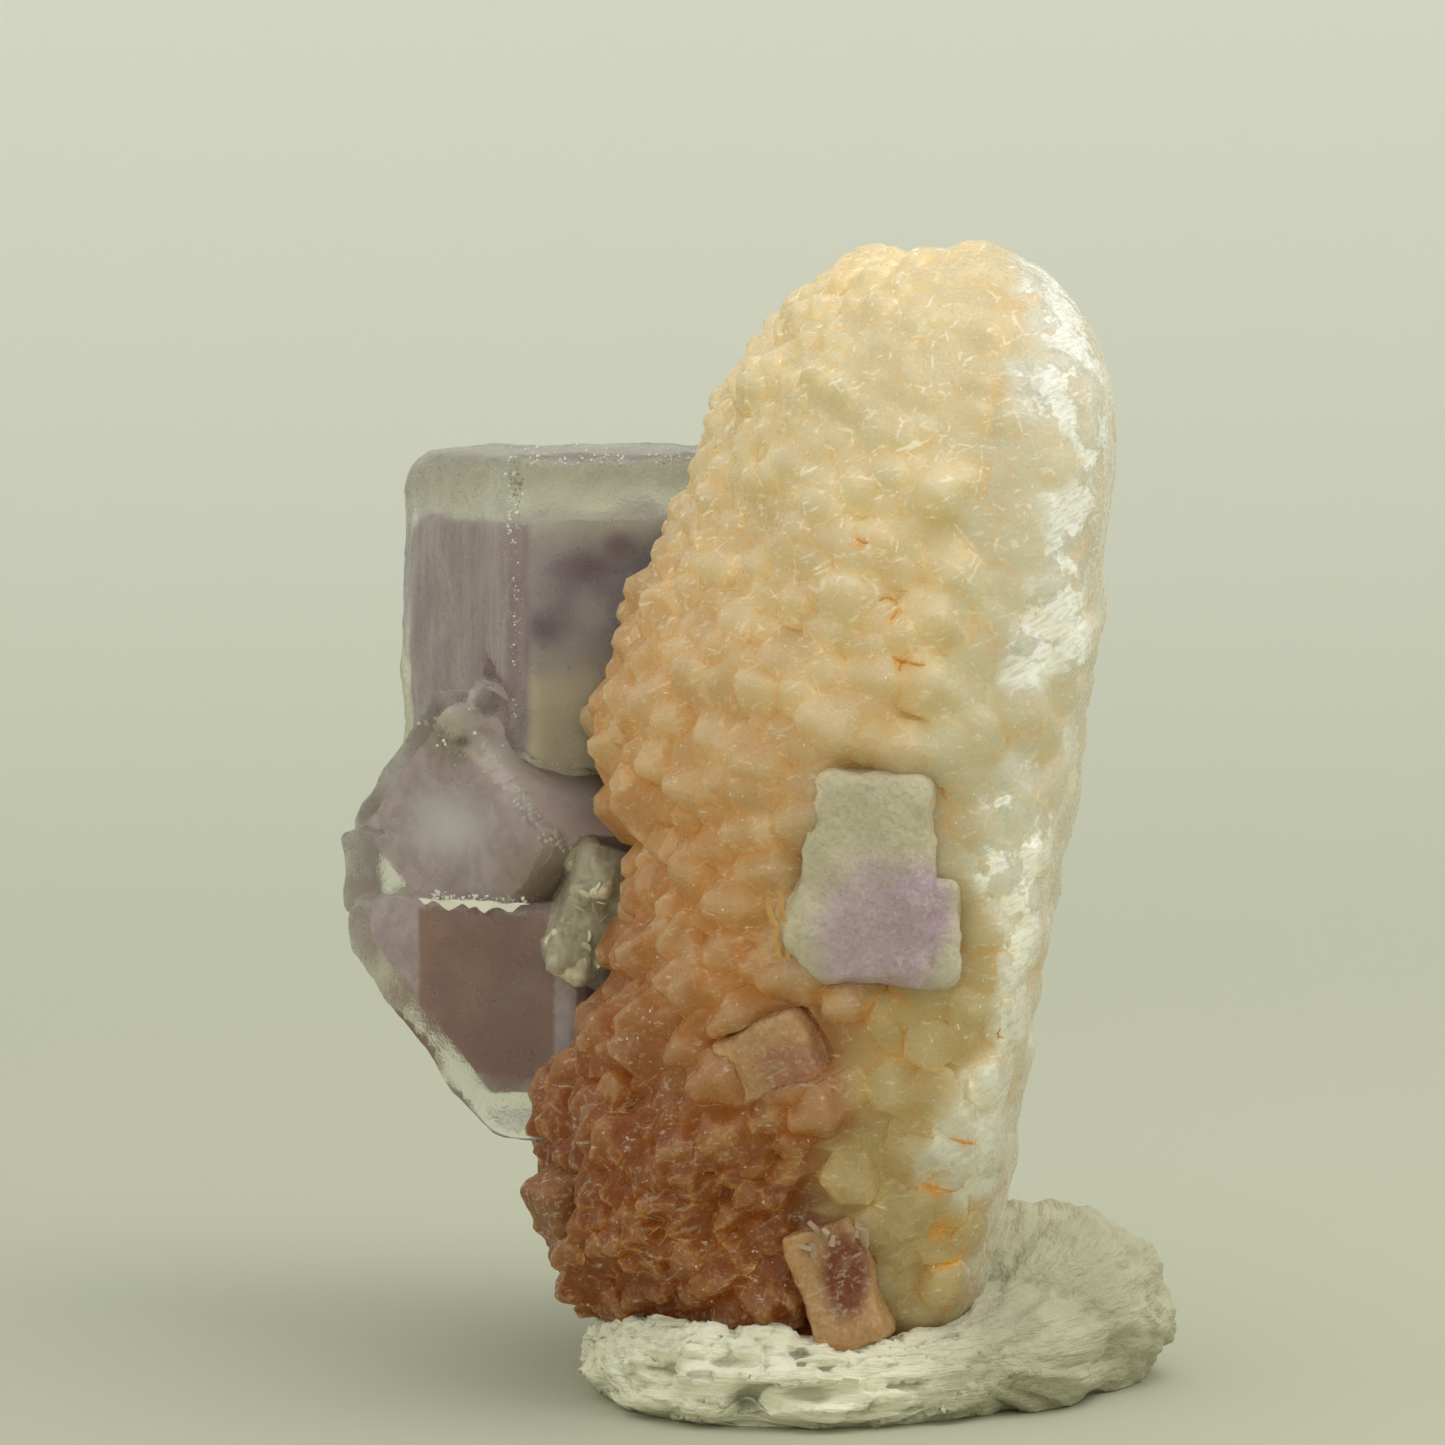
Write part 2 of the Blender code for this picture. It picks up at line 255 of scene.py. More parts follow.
def plate_normal(turn, height):
    step = 0.02
    round_it = plate_point(turn + step, height) - plate_point(turn - step, height)
    up_it = plate_point(turn, height + 1.0) - plate_point(turn, height - 1.0)
    return round_it.cross(up_it).normalized()


def relief(place):
    """How far the crust's ground rises or sinks: ledges and hollows at the lower left, calmer above."""
    rough = curve_value(((20.0, 1.0), (30.0, 0.25)), place.z)
    rough *= curve_value(((2.0, 1.0), (6.0, 0.2)), place.x)
    return (0.25 + 1.25 * rough) * noise.noise(place * 0.27)


def ground_point(turn, height, lift=0.0):
    place = plate_point(turn, height, BODY_SHRINK)
    return place + plate_normal(turn, height) * (relief(place) + lift)


def body_point(turn, height):
    """The stone between the crystals: high up it almost reaches their tips, but not at the left edge."""
    heights, lefts, *_others = zip(*PLATE_LEVELS)
    past_left = plate_point(turn, height).x - np.interp(height, heights, lefts)
    return ground_point(turn, height, curve_value(BODY_LIFT, height) * min(max(past_left / 6.0, 0.1), 1.0))


def plate_body(point_at):
    """A fine loft through the plate's sections, closed at both ends."""
    bm = bmesh.new()
    rings = []
    for height in np.linspace(PLATE_LEVELS[0][0], PLATE_LEVELS[-1][0], BODY_RINGS):
        turns = [math.tau * i / RING_POINTS for i in range(RING_POINTS)]
        corners = [bm.verts.new(point_at(turn, height)) for turn in turns]
        rings.append([bm.edges.new((corners[i - 1], corners[i])) for i in range(RING_POINTS)])
    for lower, upper in zip(rings, rings[1:]):
        bmesh.ops.bridge_loops(bm, edges=lower + upper)
    for ring in (rings[0], rings[-1]):
        bmesh.ops.contextual_create(bm, geom=ring)
    return bm


def crystal(radius, length, buried, tip, lean, matrix, wear=0.1):
    """A six-sided crystal whose tip is made of unequal faces, with worn edges."""
    bm = bmesh.new()
    depth = length + buried
    bmesh.ops.create_cone(bm, cap_ends=True, segments=6, radius1=0.9 * radius, radius2=radius, depth=depth)
    top = max(bm.faces, key=lambda face: face.calc_center_median().z)
    shoulders = list(top.verts)
    apex = bmesh.ops.poke(bm, faces=[top], offset=tip * radius)["verts"][0]
    for i, shoulder in enumerate(shoulders):
        shoulder.co.z += tip * radius * (0.17 if i % 2 else -0.17)
    apex.co.x += lean * radius
    worn = [edge for edge in bm.edges if max(vert.co.z for vert in edge.verts) > 0]
    bmesh.ops.bevel(bm, geom=worn, offset=wear * radius, segments=1, affect="EDGES", clamp_overlap=True)
    bmesh.ops.triangulate(bm, faces=bm.faces)
    bm.transform(matrix @ Matrix.Translation((0.0, 0.0, depth / 2 - buried)))
    return bm


def block_matrix(centre, angles):
    return Matrix.Translation(centre) @ Euler([math.radians(a) for a in angles]).to_matrix().to_4x4()


BLOCK_CHECKS = [
    (block_matrix(centre, angles).inverted(), size)
    for blocks in FLUORITES.values()
    for centre, size, angles in blocks
]


def inside_fluorite(place, clearance):
    for inverse, size in BLOCK_CHECKS:
        local = inverse @ place
        if all(abs(local[i]) < size[i] / 2 + clearance for i in range(3)):
            return True
    return False


def scatter(seed, tries, spacing_at, low=3.0, high=60.7):
    """Places spread evenly but without order over the plate, each with its normal."""
    draw = random.Random(seed)
    feet = np.zeros((0, 3))
    places = []
    for _ in range(tries):
        turn = draw.uniform(0.0, math.tau)
        height = draw.uniform(low, high)
        foot = ground_point(turn, height)
        if len(feet) and np.min(np.sum((feet - np.array(foot)) ** 2, axis=1)) < spacing_at(foot) ** 2:
            continue
        feet = np.vstack([feet, foot])
        places.append((foot, plate_normal(turn, height)))
    return places


def on_crust(foot):
    return foot.x < curve_value(CRUST_EDGE, foot.z)


def growth_at(foot):
    """The direction the crust grew in: away from the flat back, fanning out up, down and sideways."""
    away = foot - GROWTH_ORIGIN
    away.y *= 0.4
    return away.normalized()


def facing_matrix(foot, facing, twist):
    turned = facing.to_track_quat("Z", "Y").to_matrix().to_4x4() @ Matrix.Rotation(twist, 4, "Z")
    return Matrix.Translation(foot) @ turned


def tile_matrix(foot, facing, outward, twist):
    """A frame along a crystal's axis with one of its flat sides turned outwards, like a roof tile."""
    side = (outward - facing * outward.dot(facing)).normalized()
    frame_axes = Matrix((side, facing.cross(side), facing)).transposed().to_4x4()
    return Matrix.Translation(foot) @ frame_axes @ Matrix.Rotation(math.radians(30.0) + twist, 4, "Z")


def sway_by(draw, amount):
    return Vector([draw.uniform(-amount, amount) for _ in range(3)])


def add_crust(points, centres):
    """The pointed crystals of the front, the far edge and the top."""
    draw = random.Random(SEED + 1)
    for foot, outward in scatter(SEED, 34000, lambda foot: 0.8 * curve_value(POINT_SIZE, foot.z)):
        radius = curve_value(POINT_SIZE, foot.z) * draw.uniform(0.65, 1.25)
        sway = sway_by(draw, 0.2)
        twist = draw.uniform(-0.35, 0.35)
        length_share = draw.uniform(-0.1, 0.4)
        tip = draw.uniform(0.7, 1.15) * curve_value(POINT_BLUNTNESS, foot.z)
        lean = draw.uniform(-0.3, 0.3)
        tint = draw.random()
        if not on_crust(foot):
            continue
        facing = (curve_value(POINT_LEAN, foot.z) * outward + growth_at(foot) + sway).normalized()
        if inside_fluorite(foot + facing * radius, 0.1):
            continue
        length = radius * (length_share + 0.9 * (1.0 - outward.dot(facing)))
        matrix = tile_matrix(foot, facing, outward, twist)
        object_from(crystal(radius, length, 1.4 * radius, tip, lean, matrix), "point", points)
        centres.append((foot + facing * 0.6 * radius, "crust", tint))


def add_cells(points, centres):
    """Blunt broken cells over the near and far side, and flatter grains over the back."""
    draw = random.Random(SEED + 3)
    for foot, outward in scatter(SEED + 2, 9000, lambda foot: 1.75):
        radius = draw.uniform(1.5, 2.1)
        sway = sway_by(draw, 0.25)
        twist = draw.uniform(0.0, math.tau)
        tip = draw.uniform(0.25, 0.5)
        length = draw.uniform(-0.15, 0.35)
        tint = draw.random()
        if foot.x < curve_value(CRUST_EDGE, foot.z) - 1.0 or inside_fluorite(foot + outward * 0.5, -0.4):
            continue
        zone = "back" if outward.x > 0.8 else "side"
        if zone == "side" and glassy(foot):
            zone = "glass"
        matrix = facing_matrix(foot, (outward + sway).normalized(), twist)
        object_from(crystal(radius, 0.25 + length, 1.8, tip, 0.3, matrix, wear=0.1), "cell", points)
        centres.append((foot, zone, tint))


def add_shards(points, centres):
    """Small broken faces of clear quartz that catch the light near the plate's back edge."""
    draw = random.Random(SEED + 5)
    for foot, outward in scatter(SEED + 4, 9000, lambda foot: 1.0):
        facing = (outward + sway_by(draw, 0.55)).normalized()
        radius = draw.uniform(0.7, 1.3)
        twist = draw.uniform(0.0, math.tau)
        length = draw.uniform(0.1, 0.35)
        tint = draw.random()
        shard_zone = glassy(foot) and outward.x < 0.8 and not on_crust(foot)
        if not shard_zone or inside_fluorite(foot + outward * 0.5, 0.0):
            continue
        matrix = facing_matrix(foot, facing, twist)
        object_from(crystal(radius, length, 1.2, 0.1, 0.5, matrix, wear=0.03), "shard", points)
        centres.append((foot + outward * 0.3, "glass", tint))


def glassy(place):
    """Whether a broken cell near the plate's back edge is of clear, sparkling quartz."""
    right = curve_value([(row[0], row[2]) for row in PLATE_LEVELS], place.z)
    patch = noise.noise(place * 0.16)
    return place.x > right - 3.6 + 4.0 * patch and place.z > 12.0


def cut_corners(bm, name, grow=0.0):
    """Cuts a crystal's corners off along its cleavage planes and closes the cuts."""
    for place, lost_side in CLEAVAGE.get(name, []):
        lost_side = Vector(lost_side).normalized()
        geometry = bm.verts[:] + bm.edges[:] + bm.faces[:]
        place = Vector(place) + grow * lost_side
        bmesh.ops.bisect_plane(bm, geom=geometry, plane_co=place, plane_no=lost_side, clear_outer=True)
        bmesh.ops.holes_fill(bm, edges=bm.edges)


def block(centre, size, angles, grow=0.0):
    bm = bmesh.new()
    bmesh.ops.create_cube(bm, size=1.0)
    bmesh.ops.scale(bm, vec=Vector(size) + Vector((2 * grow,) * 3), verts=bm.verts)
    bm.transform(block_matrix(centre, angles))
    return bm


def cut_pockets(target, names, grow):
    """Makes room for fluorite crystals in the piece that they grew on, and in front of the small ones."""
    pockets = new_collection("pockets", shown=False)
    for name in names:
        small = name in SMALL_CRYSTALS
        for centre, size, angles in FLUORITES[name]:
            room = TIGHT_FIT if small else grow
            bm = block(centre, size, angles, room)
            cut_corners(bm, name, room)
            object_from(bm, "pocket", pockets)
            if small:
                bm = block(centre, Vector(size) * 0.88, angles)
                bm.transform(Matrix.Translation((-0.35, -3.0, 0.0)))
                cut_corners(bm, name, -0.2)
                object_from(bm, "clearing", pockets)
    apply_boolean(target, "DIFFERENCE", pockets)
    remove_collection(pockets)


def refine(bm, longest, rounds=3):
    """Splits edges longer than a length, so that what is drawn per point is fine enough."""
    bmesh.ops.triangulate(bm, faces=[face for face in bm.faces if len(face.verts) > 3])
    for _ in range(rounds):
        long_edges = [edge for edge in bm.edges if edge.calc_length() > longest]
        if not long_edges:
            break
        bmesh.ops.subdivide_edges(bm, edges=long_edges, cuts=1)
        bmesh.ops.triangulate(bm, faces=[face for face in bm.faces if len(face.verts) > 3])


def mark_creases(bm):
    """A point value for creases (concave edges), from 0 to 1."""
    crease = bm.verts.layers.float.new("crease")
    for edge in bm.edges:
        angle = edge.calc_face_angle_signed(0.0)
        if len(edge.link_faces) != 2 or angle > 0:
            continue
        for vert in edge.verts:
            vert[crease] = max(vert[crease], min(1.0, -angle / FULL_CREASE))


def mesh_arrays(mesh):
    """The mesh's points in millimetres, its point normals and its edges, as arrays."""
    places = np.empty(len(mesh.vertices) * 3)
    mesh.vertices.foreach_get("co", places)
    normals = np.empty(len(mesh.vertices) * 3)
    mesh.vertices.foreach_get("normal", normals)
    edges = np.empty(len(mesh.edges) * 2, dtype=int)
    mesh.edges.foreach_get("vertices", edges)
    return places.reshape(-1, 3) / MM, normals.reshape(-1, 3), edges.reshape(-1, 2)


def neighbour_mean(values, edges, rounds, share=1.0):
    """Values per point, blended with the mean of the points next to them in some rounds."""
    count = np.maximum(np.bincount(edges.ravel(), minlength=len(values)), 1)
    for _ in range(rounds):
        columns = []
        for column in values.T:
            total = np.bincount(edges[:, 0], column[edges[:, 1]], len(values))
            total += np.bincount(edges[:, 1], column[edges[:, 0]], len(values))
            columns.append((1.0 - share) * column + share * total / count)
        values = np.stack(columns, axis=1)
    return values


def store_point_values(mesh, name, values):
    layer = mesh.attributes.get(name) or mesh.attributes.new(name, "FLOAT", "POINT")
    layer.data.foreach_set("value", values.astype(np.float32))


def mark_cavity(mesh):
    """A point value for how deep it lies in the crust, in millimetres: the mesh against a smoothed one."""
    places, normals, edges = mesh_arrays(mesh)
    smoothed = neighbour_mean(places, edges, 14, 0.7)
    store_point_values(mesh, "cavity", np.sum((smoothed - places) * normals, axis=1))


def calm_relief(mesh):
    """Lowers the relief towards the top and on the broken side, where the crystals have grown together."""
    places, _normals, edges = mesh_arrays(mesh)
    smoothed = neighbour_mean(places, edges, 10, 0.7)
    edge_x = np.interp(places[:, 2], *zip(*CRUST_EDGE))
    past_edge = np.clip((places[:, 0] - edge_x + 5.0) / 7.0, 0.0, 1.0)
    heights, lefts, rights, *_others = zip(*PLATE_LEVELS)
    inwards = np.clip((places[:, 0] - np.interp(places[:, 2], heights, lefts)) / 6.0, 0.15, 1.0)
    at_back = np.clip(places[:, 0] - np.interp(places[:, 2], heights, rights) + 2.2, 0.0, 1.0)
    share = np.interp(places[:, 2], *zip(*TOP_CALM)) * inwards
    share = np.maximum(share, np.interp(places[:, 2], *zip(*SIDE_CALM)) * past_edge)
    share = np.maximum(share, BACK_CALM * at_back)[:, None]
    places = (places + share * (smoothed - places)) * MM
    mesh.vertices.foreach_set("co", places.ravel())
    mesh.update()


def mark_zones(mesh, centres):
    """Point values from the nearest crystal: its tint, and whether it is side, glass or back."""
    tree = kdtree.KDTree(len(centres))
    for i, (place, _zone, _tint) in enumerate(centres):
        tree.insert(place, i)
    tree.balance()
    places, _normals, edges = mesh_arrays(mesh)
    values = np.zeros((len(places), 4))
    for row, place in zip(values, places):
        _place, nearest, _distance = tree.find(place)
        _place, zone, tint = centres[nearest]
        row[:] = tint, zone in ("side", "glass"), GLASS_SHARE.get(zone, 0.0), zone == "back"
    values[:, 1:] = neighbour_mean(values[:, 1:], edges, 2, 0.6)
    for name, column in zip(("tint", "side", "glass", "back"), values.T):
        store_point_values(mesh, name, column)


def mark_rust(mesh):
    """A point value for iron stain in the joints: strong near the listed spots, faint elsewhere."""
    places, _normals, edges = mesh_arrays(mesh)
    crease = np.zeros(len(places))
    mesh.attributes["crease"].data.foreach_get("value", crease)
    spots = np.zeros(len(places))
    for centre, radius in RUST_SPOTS:
        away = np.hypot(places[:, 0] - centre[0], places[:, 2] - centre[2]) / radius
        spots += np.clip(1.0 - away, 0.0, 1.0) * (places[:, 1] < 0.0)
    faint = np.array([max(noise.noise(Vector(place) * 0.35), 0.0) for place in places])
    on_side = np.interp(places[:, 0] - np.interp(places[:, 2], *zip(*CRUST_EDGE)), (-1.0, 1.0), (0.2, 1.0))
    rust = np.clip(spots * (0.4 + 2.0 * crease), 0.0, 1.0) + faint * crease * on_side
    store_point_values(mesh, "rust", neighbour_mean(rust[:, None], edges, 1, 0.4)[:, 0])


def soften(bm, factor=0.12):
    axes = {"use_axis_x": True, "use_axis_y": True, "use_axis_z": True}
    bmesh.ops.smooth_vert(bm, verts=bm.verts, factor=factor, **axes)


def crumble(bm):
    """Breaks up the crystals of the lower left, where the crust is sugary and full of hollows."""
    layer = bm.verts.layers.float.new("crumbled")
    bm.normal_update()
    for vert in bm.verts:
        place = vert.co / MM
        share = curve_value(((12.0, 1.0), (26.0, 0.0)), place.z)
        share *= curve_value(((2.0, 1.0), (6.0, 0.0)), place.x)
        vert[layer] = share
        if share > 0.0:
            vert.co += vert.normal * MM * share * 0.6 * noise.noise(place * 0.7)


def roughen(bm, amount, scale, offset=0.0):
    """Moves each point a little along its normal by smooth noise."""
    bm.normal_update()
    for vert in bm.verts:
        place = vert.co / MM * scale + Vector((offset,) * 3)
        vert.co += vert.normal * amount * MM * noise.noise(place)


def shade(piece, degrees):
    piece.data.shade_smooth()
    piece.data.set_sharp_from_angle(angle=math.radians(degrees))


def build_quartz():
    plate = object_from(plate_body(body_point), "quartz_crust")
    points = new_collection("points", shown=False)
    centres = []
    add_crust(points, centres)
    add_cells(points, centres)
    add_shards(points, centres)
    apply_boolean(plate, "UNION", points)
    remove_collection(points)
    cut_pockets(plate, FLUORITES, 0.05)
    bm = bmesh.new()
    bm.from_mesh(plate.data)
    refine(bm, 1.1 * MM)
    mark_creases(bm)
    soften(bm)
    roughen(bm, 0.07, 0.8)
    crumble(bm)
    bm.to_mesh(plate.data)
    bm.free()
    calm_relief(plate.data)
    mark_cavity(plate.data)
    mark_zones(plate.data, centres)
    mark_rust(plate.data)
    shade(plate, 22)
    return plate


def add_stains(plate):
    """Thin threads of iron stain in the joints of the broken side, mostly at the listed spots."""
    draw = random.Random(SEED + 10)
    ground = bmesh.new()
    ground.from_mesh(plate.data)
    side = ground.verts.layers.float["side"]
    bm = bmesh.new()
    for edge in ground.edges:
        if len(edge.link_faces) != 2 or edge.calc_face_angle_signed() > -0.35:
            continue
        first, second = (vert.co / MM for vert in edge.verts)
        middle = (first + second) / 2
        nearness = max(1.4 - (middle - Vector(place)).xz.length / radius for place, radius in RUST_SPOTS)
        strength = 0.55 * min(nearness, 1.0) + 1.1 * noise.noise(middle * 0.8)
        on_side = min(vert[side] for vert in edge.verts) > 0.3 or nearness > 0.3
        if strength < 0.4 or middle.y > 0.0 or not on_side:
            continue
        length = (second - first).length
        wide = draw.uniform(0.04, 0.08) * (1.0 + 0.6 * max(nearness, 0.0))
        turned = (second - first).to_track_quat("X", "Z").to_matrix().to_4x4()
        add_ball(bm, middle, (0.6 * length + 0.05, wide, wide), turned, 1)
    ground.free()
    return object_from(bm, "iron_stains", closed=False)


def rounded(local, half, wear):
    """Pulls a point of a block onto the same block with rounded edges."""
    over = [max(abs(local[i]) - (half[i] - wear), 0.0) for i in range(3)]
    reach = math.sqrt(sum(value * value for value in over))
    if reach <= wear:
        return local
    share = 1.0 - wear / reach
    return Vector([math.copysign(abs(local[i]) - over[i] * share, local[i]) for i in range(3)])


def wear_at(place, wear, half):
    """How far the edges are worn at a place: unevenly, and more at the soft corners."""
    amount = wear * (0.75 + 0.9 * noise.noise(place * 0.45))
    for corner, radius, reach in SOFT_CORNERS:
        nearness = max(0.0, 1.0 - (place - Vector(corner)).length / reach)
        amount += (radius - wear) * nearness if wear > PLAIN_WEAR else 0.0
    return min(max(amount, 0.1), 0.48 * min(half))


def worn_block(centre, size, angles, wear, step=0.8):
    """A block with finely split faces and unevenly worn edges."""
    bm = block((0, 0, 0), size, (0, 0, 0))
    cuts = max(3, int(max(size) / step))
    bmesh.ops.subdivide_edges(bm, edges=bm.edges[:], cuts=cuts, use_grid_fill=True)
    matrix = block_matrix(centre, angles)
    half = [value / 2 for value in size]
    for vert in bm.verts:
        vert.co = rounded(vert.co, half, wear_at(matrix @ vert.co, wear, half))
    bm.transform(matrix)
    return bm


def build_shell(name):
    """The outer shape of one fluorite: its worn blocks, grown into one."""
    shell = None
    extras = new_collection("extras", shown=False)
    small = name in SMALL_CRYSTALS
    for centre, size, angles in FLUORITES[name]:
        bm = worn_block(centre, size, angles, SHELL_WEAR.get(name, PLAIN_WEAR), 0.5 if small else 0.8)
        cut_corners(bm, name)
        if shell:
            object_from(bm, "block", extras)
        else:
            shell = object_from(bm, name.replace("_fluorite", "_crystal"))
    if extras.objects:
        apply_boolean(shell, "UNION", extras)
    remove_collection(extras)
    if name == "upper_fluorite":
        cut_pockets(shell, ["lower_fluorite"], 0.05)
    if small or name == "corner_fluorite":
        if name == "face_fluorite":
            wear_faces(shell, 0.5, 0.6, 0.4, rounds=3)
        else:
            wear_faces(shell, 0.5, 0.35, 0.4, rounds=2)
        wear_faces(shell, 0.5, 0.14, 1.6)
    else:
        wear_faces(shell, 0.9, 0.3, 0.3, rounds=1)
        wear_faces(shell, 0.9, 0.1, 1.2)
    shade(shell, 40)
    return shell


def wear_faces(piece, longest, amount, scale, rounds=0):
    """Makes a crystal's faces uneven, and softens its edges in some rounds."""
    bm = bmesh.new()
    bm.from_mesh(piece.data)
    refine(bm, longest * MM, 5)
    roughen(bm, amount, scale)
    for _ in range(rounds):
        soften(bm, 0.5)
    bm.to_mesh(piece.data)
    bm.free()


def add_phantom(name, centre, size, angles, wear=0.5, crystal_name="", inset=0.0):
    """A coloured zone inside a crystal: a smaller crystal of the same shape."""
    bm = worn_block(centre, size, angles, wear)
    cut_corners(bm, crystal_name, -inset)
    phantom = object_from(bm, name)
    wear_faces(phantom, 0.9, 0.2, 0.5)
    shade(phantom, 40)
    return phantom


def add_grains(name, lines, seed):
    """Sugary grains strewn along lines: start, end, how many, spread and size."""
    draw = random.Random(seed)
    bm = bmesh.new()
    for start, end, count, spread, size in lines:
        for _ in range(count):
            along = draw.random()
            strewn = Vector([draw.gauss(0.0, spread) for _ in range(3)])
            place = Vector(start).lerp(Vector(end), along) + strewn
            grain_size = size * draw.uniform(0.5, 1.3)
            turned = Euler([draw.uniform(0.0, math.tau) for _ in range(3)]).to_matrix().to_4x4()
            shape = Matrix.Diagonal((grain_size, grain_size * 0.7, grain_size, 1.0))
            matrix = Matrix.Translation(place) @ turned @ shape
            bmesh.ops.create_icosphere(bm, subdivisions=1, radius=1.0, matrix=matrix)
    return object_from(bm, name, closed=False)


def add_ribbon(bm, start, end, height, thick, seed):
    """A thin broken flake along a line, with an uneven lower edge."""
    start, end = Vector(start), Vector(end)
    away = (end - start).cross(Vector((0.0, 0.0, 1.0))).normalized() * thick / 2
    steps = 26
    rows = []
    for i in range(steps + 1):
        share = i / steps
        middle = start.lerp(end, share)
        ends = min(1.0, 6.0 * share, 6.0 * (1.0 - share))
        rise = Vector((0.0, 0.0, 0.18 * noise.noise(Vector((share * 7.0, seed, 0.0)))))
        uneven = 0.7 + noise.noise(Vector((share * 9.0, seed, 5.0)))
        drop = Vector((0.0, 0.0, height * max(0.1, ends * uneven)))
        corners = (middle + rise + away, middle + rise - away, middle - drop - away, middle - drop + away)
        bend = away.normalized() * 0.5 * noise.noise(Vector((share * 4.0, seed, 9.0)))
        rows.append([bm.verts.new(corner + bend) for corner in corners])
    for here, after in zip(rows, rows[1:]):
        for i in range(4):
            bm.faces.new((here[i - 1], here[i], after[i], after[i - 1]))
    bm.faces.new(rows[0])
    bm.faces.new(rows[-1])


def add_veils(name, centre, spread, count, size, seed):
    """Thin whitish fracture planes inside a clear crystal."""
    draw = random.Random(seed)
    bm = bmesh.new()
    for _ in range(count):
        place = Vector([centre[i] + draw.uniform(-1.0, 1.0) * spread[i] for i in range(3)])
        turned = Euler([draw.uniform(0.0, math.tau) for _ in range(3)]).to_matrix().to_4x4()
        half_sizes = (size * draw.uniform(0.5, 1.2), size * draw.uniform(0.4, 0.9), 0.04)
        add_ball(bm, place, half_sizes, turned, 2)
    return object_from(bm, name, closed=False)


def strand_places(steps=14):
    """Places along the strand, with its radius there, on a smooth curve through its points."""
    rows = [np.array((*place, radius)) for place, radius in STRAND]
    places = []
    for i in range(1, len(rows) - 1):
        start = rows[0] if i == 1 else (rows[i - 1] + rows[i]) / 2
        end = rows[-1] if i == len(rows) - 2 else (rows[i] + rows[i + 1]) / 2
        for share in np.linspace(0.0, 1.0, steps, endpoint=False):
            places.append((1 - share) ** 2 * start + 2 * share * (1 - share) * rows[i] + share**2 * end)
    places.append(rows[-1])
    return places


def add_ball(bm, place, half_sizes, turned=None, subdivisions=3):
    matrix = Matrix.Translation(place)
    if turned:
        matrix = matrix @ turned
    matrix = matrix @ Matrix.Diagonal((*half_sizes, 1.0))
    bmesh.ops.create_icosphere(bm, subdivisions=subdivisions, radius=1.0, matrix=matrix)


def add_torn_strips(bm, places):
    """Thin strips that came loose along the strand's near side when it was rolled."""
    draw = random.Random(SEED + 6)
    near_side = [i for i, row in enumerate(places[:-1]) if row[1] < -3.0]
    for _ in range(46):
        i = draw.choice(near_side)
        here = Vector(places[i][:3])
        along = (Vector(places[i + 1][:3]) - here).normalized()
        across = along.cross(Vector((0.0, 0.0, 1.0))).normalized()
        turn = math.radians(draw.uniform(-35.0, 100.0))
        outward = math.cos(turn) * across + math.sin(turn) * Vector((0.0, 0.0, 1.0))
        lifted = (along + sway_by(draw, 0.22)).normalized()
        turned = lifted.to_track_quat("X", "Z").to_matrix().to_4x4()
        half_sizes = (draw.uniform(0.9, 2.6), draw.uniform(0.25, 0.5), draw.uniform(0.22, 0.4))
        add_ball(bm, here + outward * (places[i][3] + draw.uniform(-0.1, 0.15)), half_sizes, turned)


def fold_height(place):
    """How far the kneaded surface stands out: layers along the strand, and a fan of folds in the lump."""
    around = math.atan2(place.y - 1.5, place.x - 2.0)
    reach = math.hypot(place.y - 1.5, place.x - 2.0)
    drift = noise.noise(Vector((around * 3.2, reach * 0.5, place.z * 0.5)))
    layer = 0.5 * (place.z - 0.7 * reach) + 1.9 * drift
    layers = 0.4 * (layer - math.floor(layer) - 0.5)
    fibres = 0.26 * noise.noise(Vector((around * 2.4, reach * 2.4, place.z * 2.4)))
    fibres += 0.14 * noise.noise(Vector((around * 6.0, reach * 6.0, place.z * 6.0)))
    fan_turn = math.atan2(place.z - 3.0, place.x - 10.5)
    fan_reach = math.hypot(place.z - 3.0, place.x - 10.5)
    fan = 0.5 * noise.noise(Vector((fan_turn * 6.0, fan_reach * 0.15, place.y * 0.18)))
    fan += 0.2 * noise.noise(Vector((fan_turn * 20.0, fan_reach * 0.3, place.y * 0.4)))
    fan += 0.08 * noise.noise(Vector((fan_turn * 50.0, fan_reach * 0.5, place.y * 0.8)))
    torn = curve_value(((19.5, 0.0), (22.5, 1.0)), place.x)
    ragged = 0.7 * noise.noise(place * 0.9) * torn
    in_lump = curve_value(((10.0, 0.0), (14.5, 1.0)), place.x)
    return (layers + fibres) * (1.0 - in_lump) + fan * in_lump + ragged


def hollow_depth(place):
    depth = 0.0
    for centre, radius, deepest in PUTTY_HOLLOWS:
        depth += deepest * math.exp(-(((place - Vector(centre)).length / radius) ** 2))
    return depth


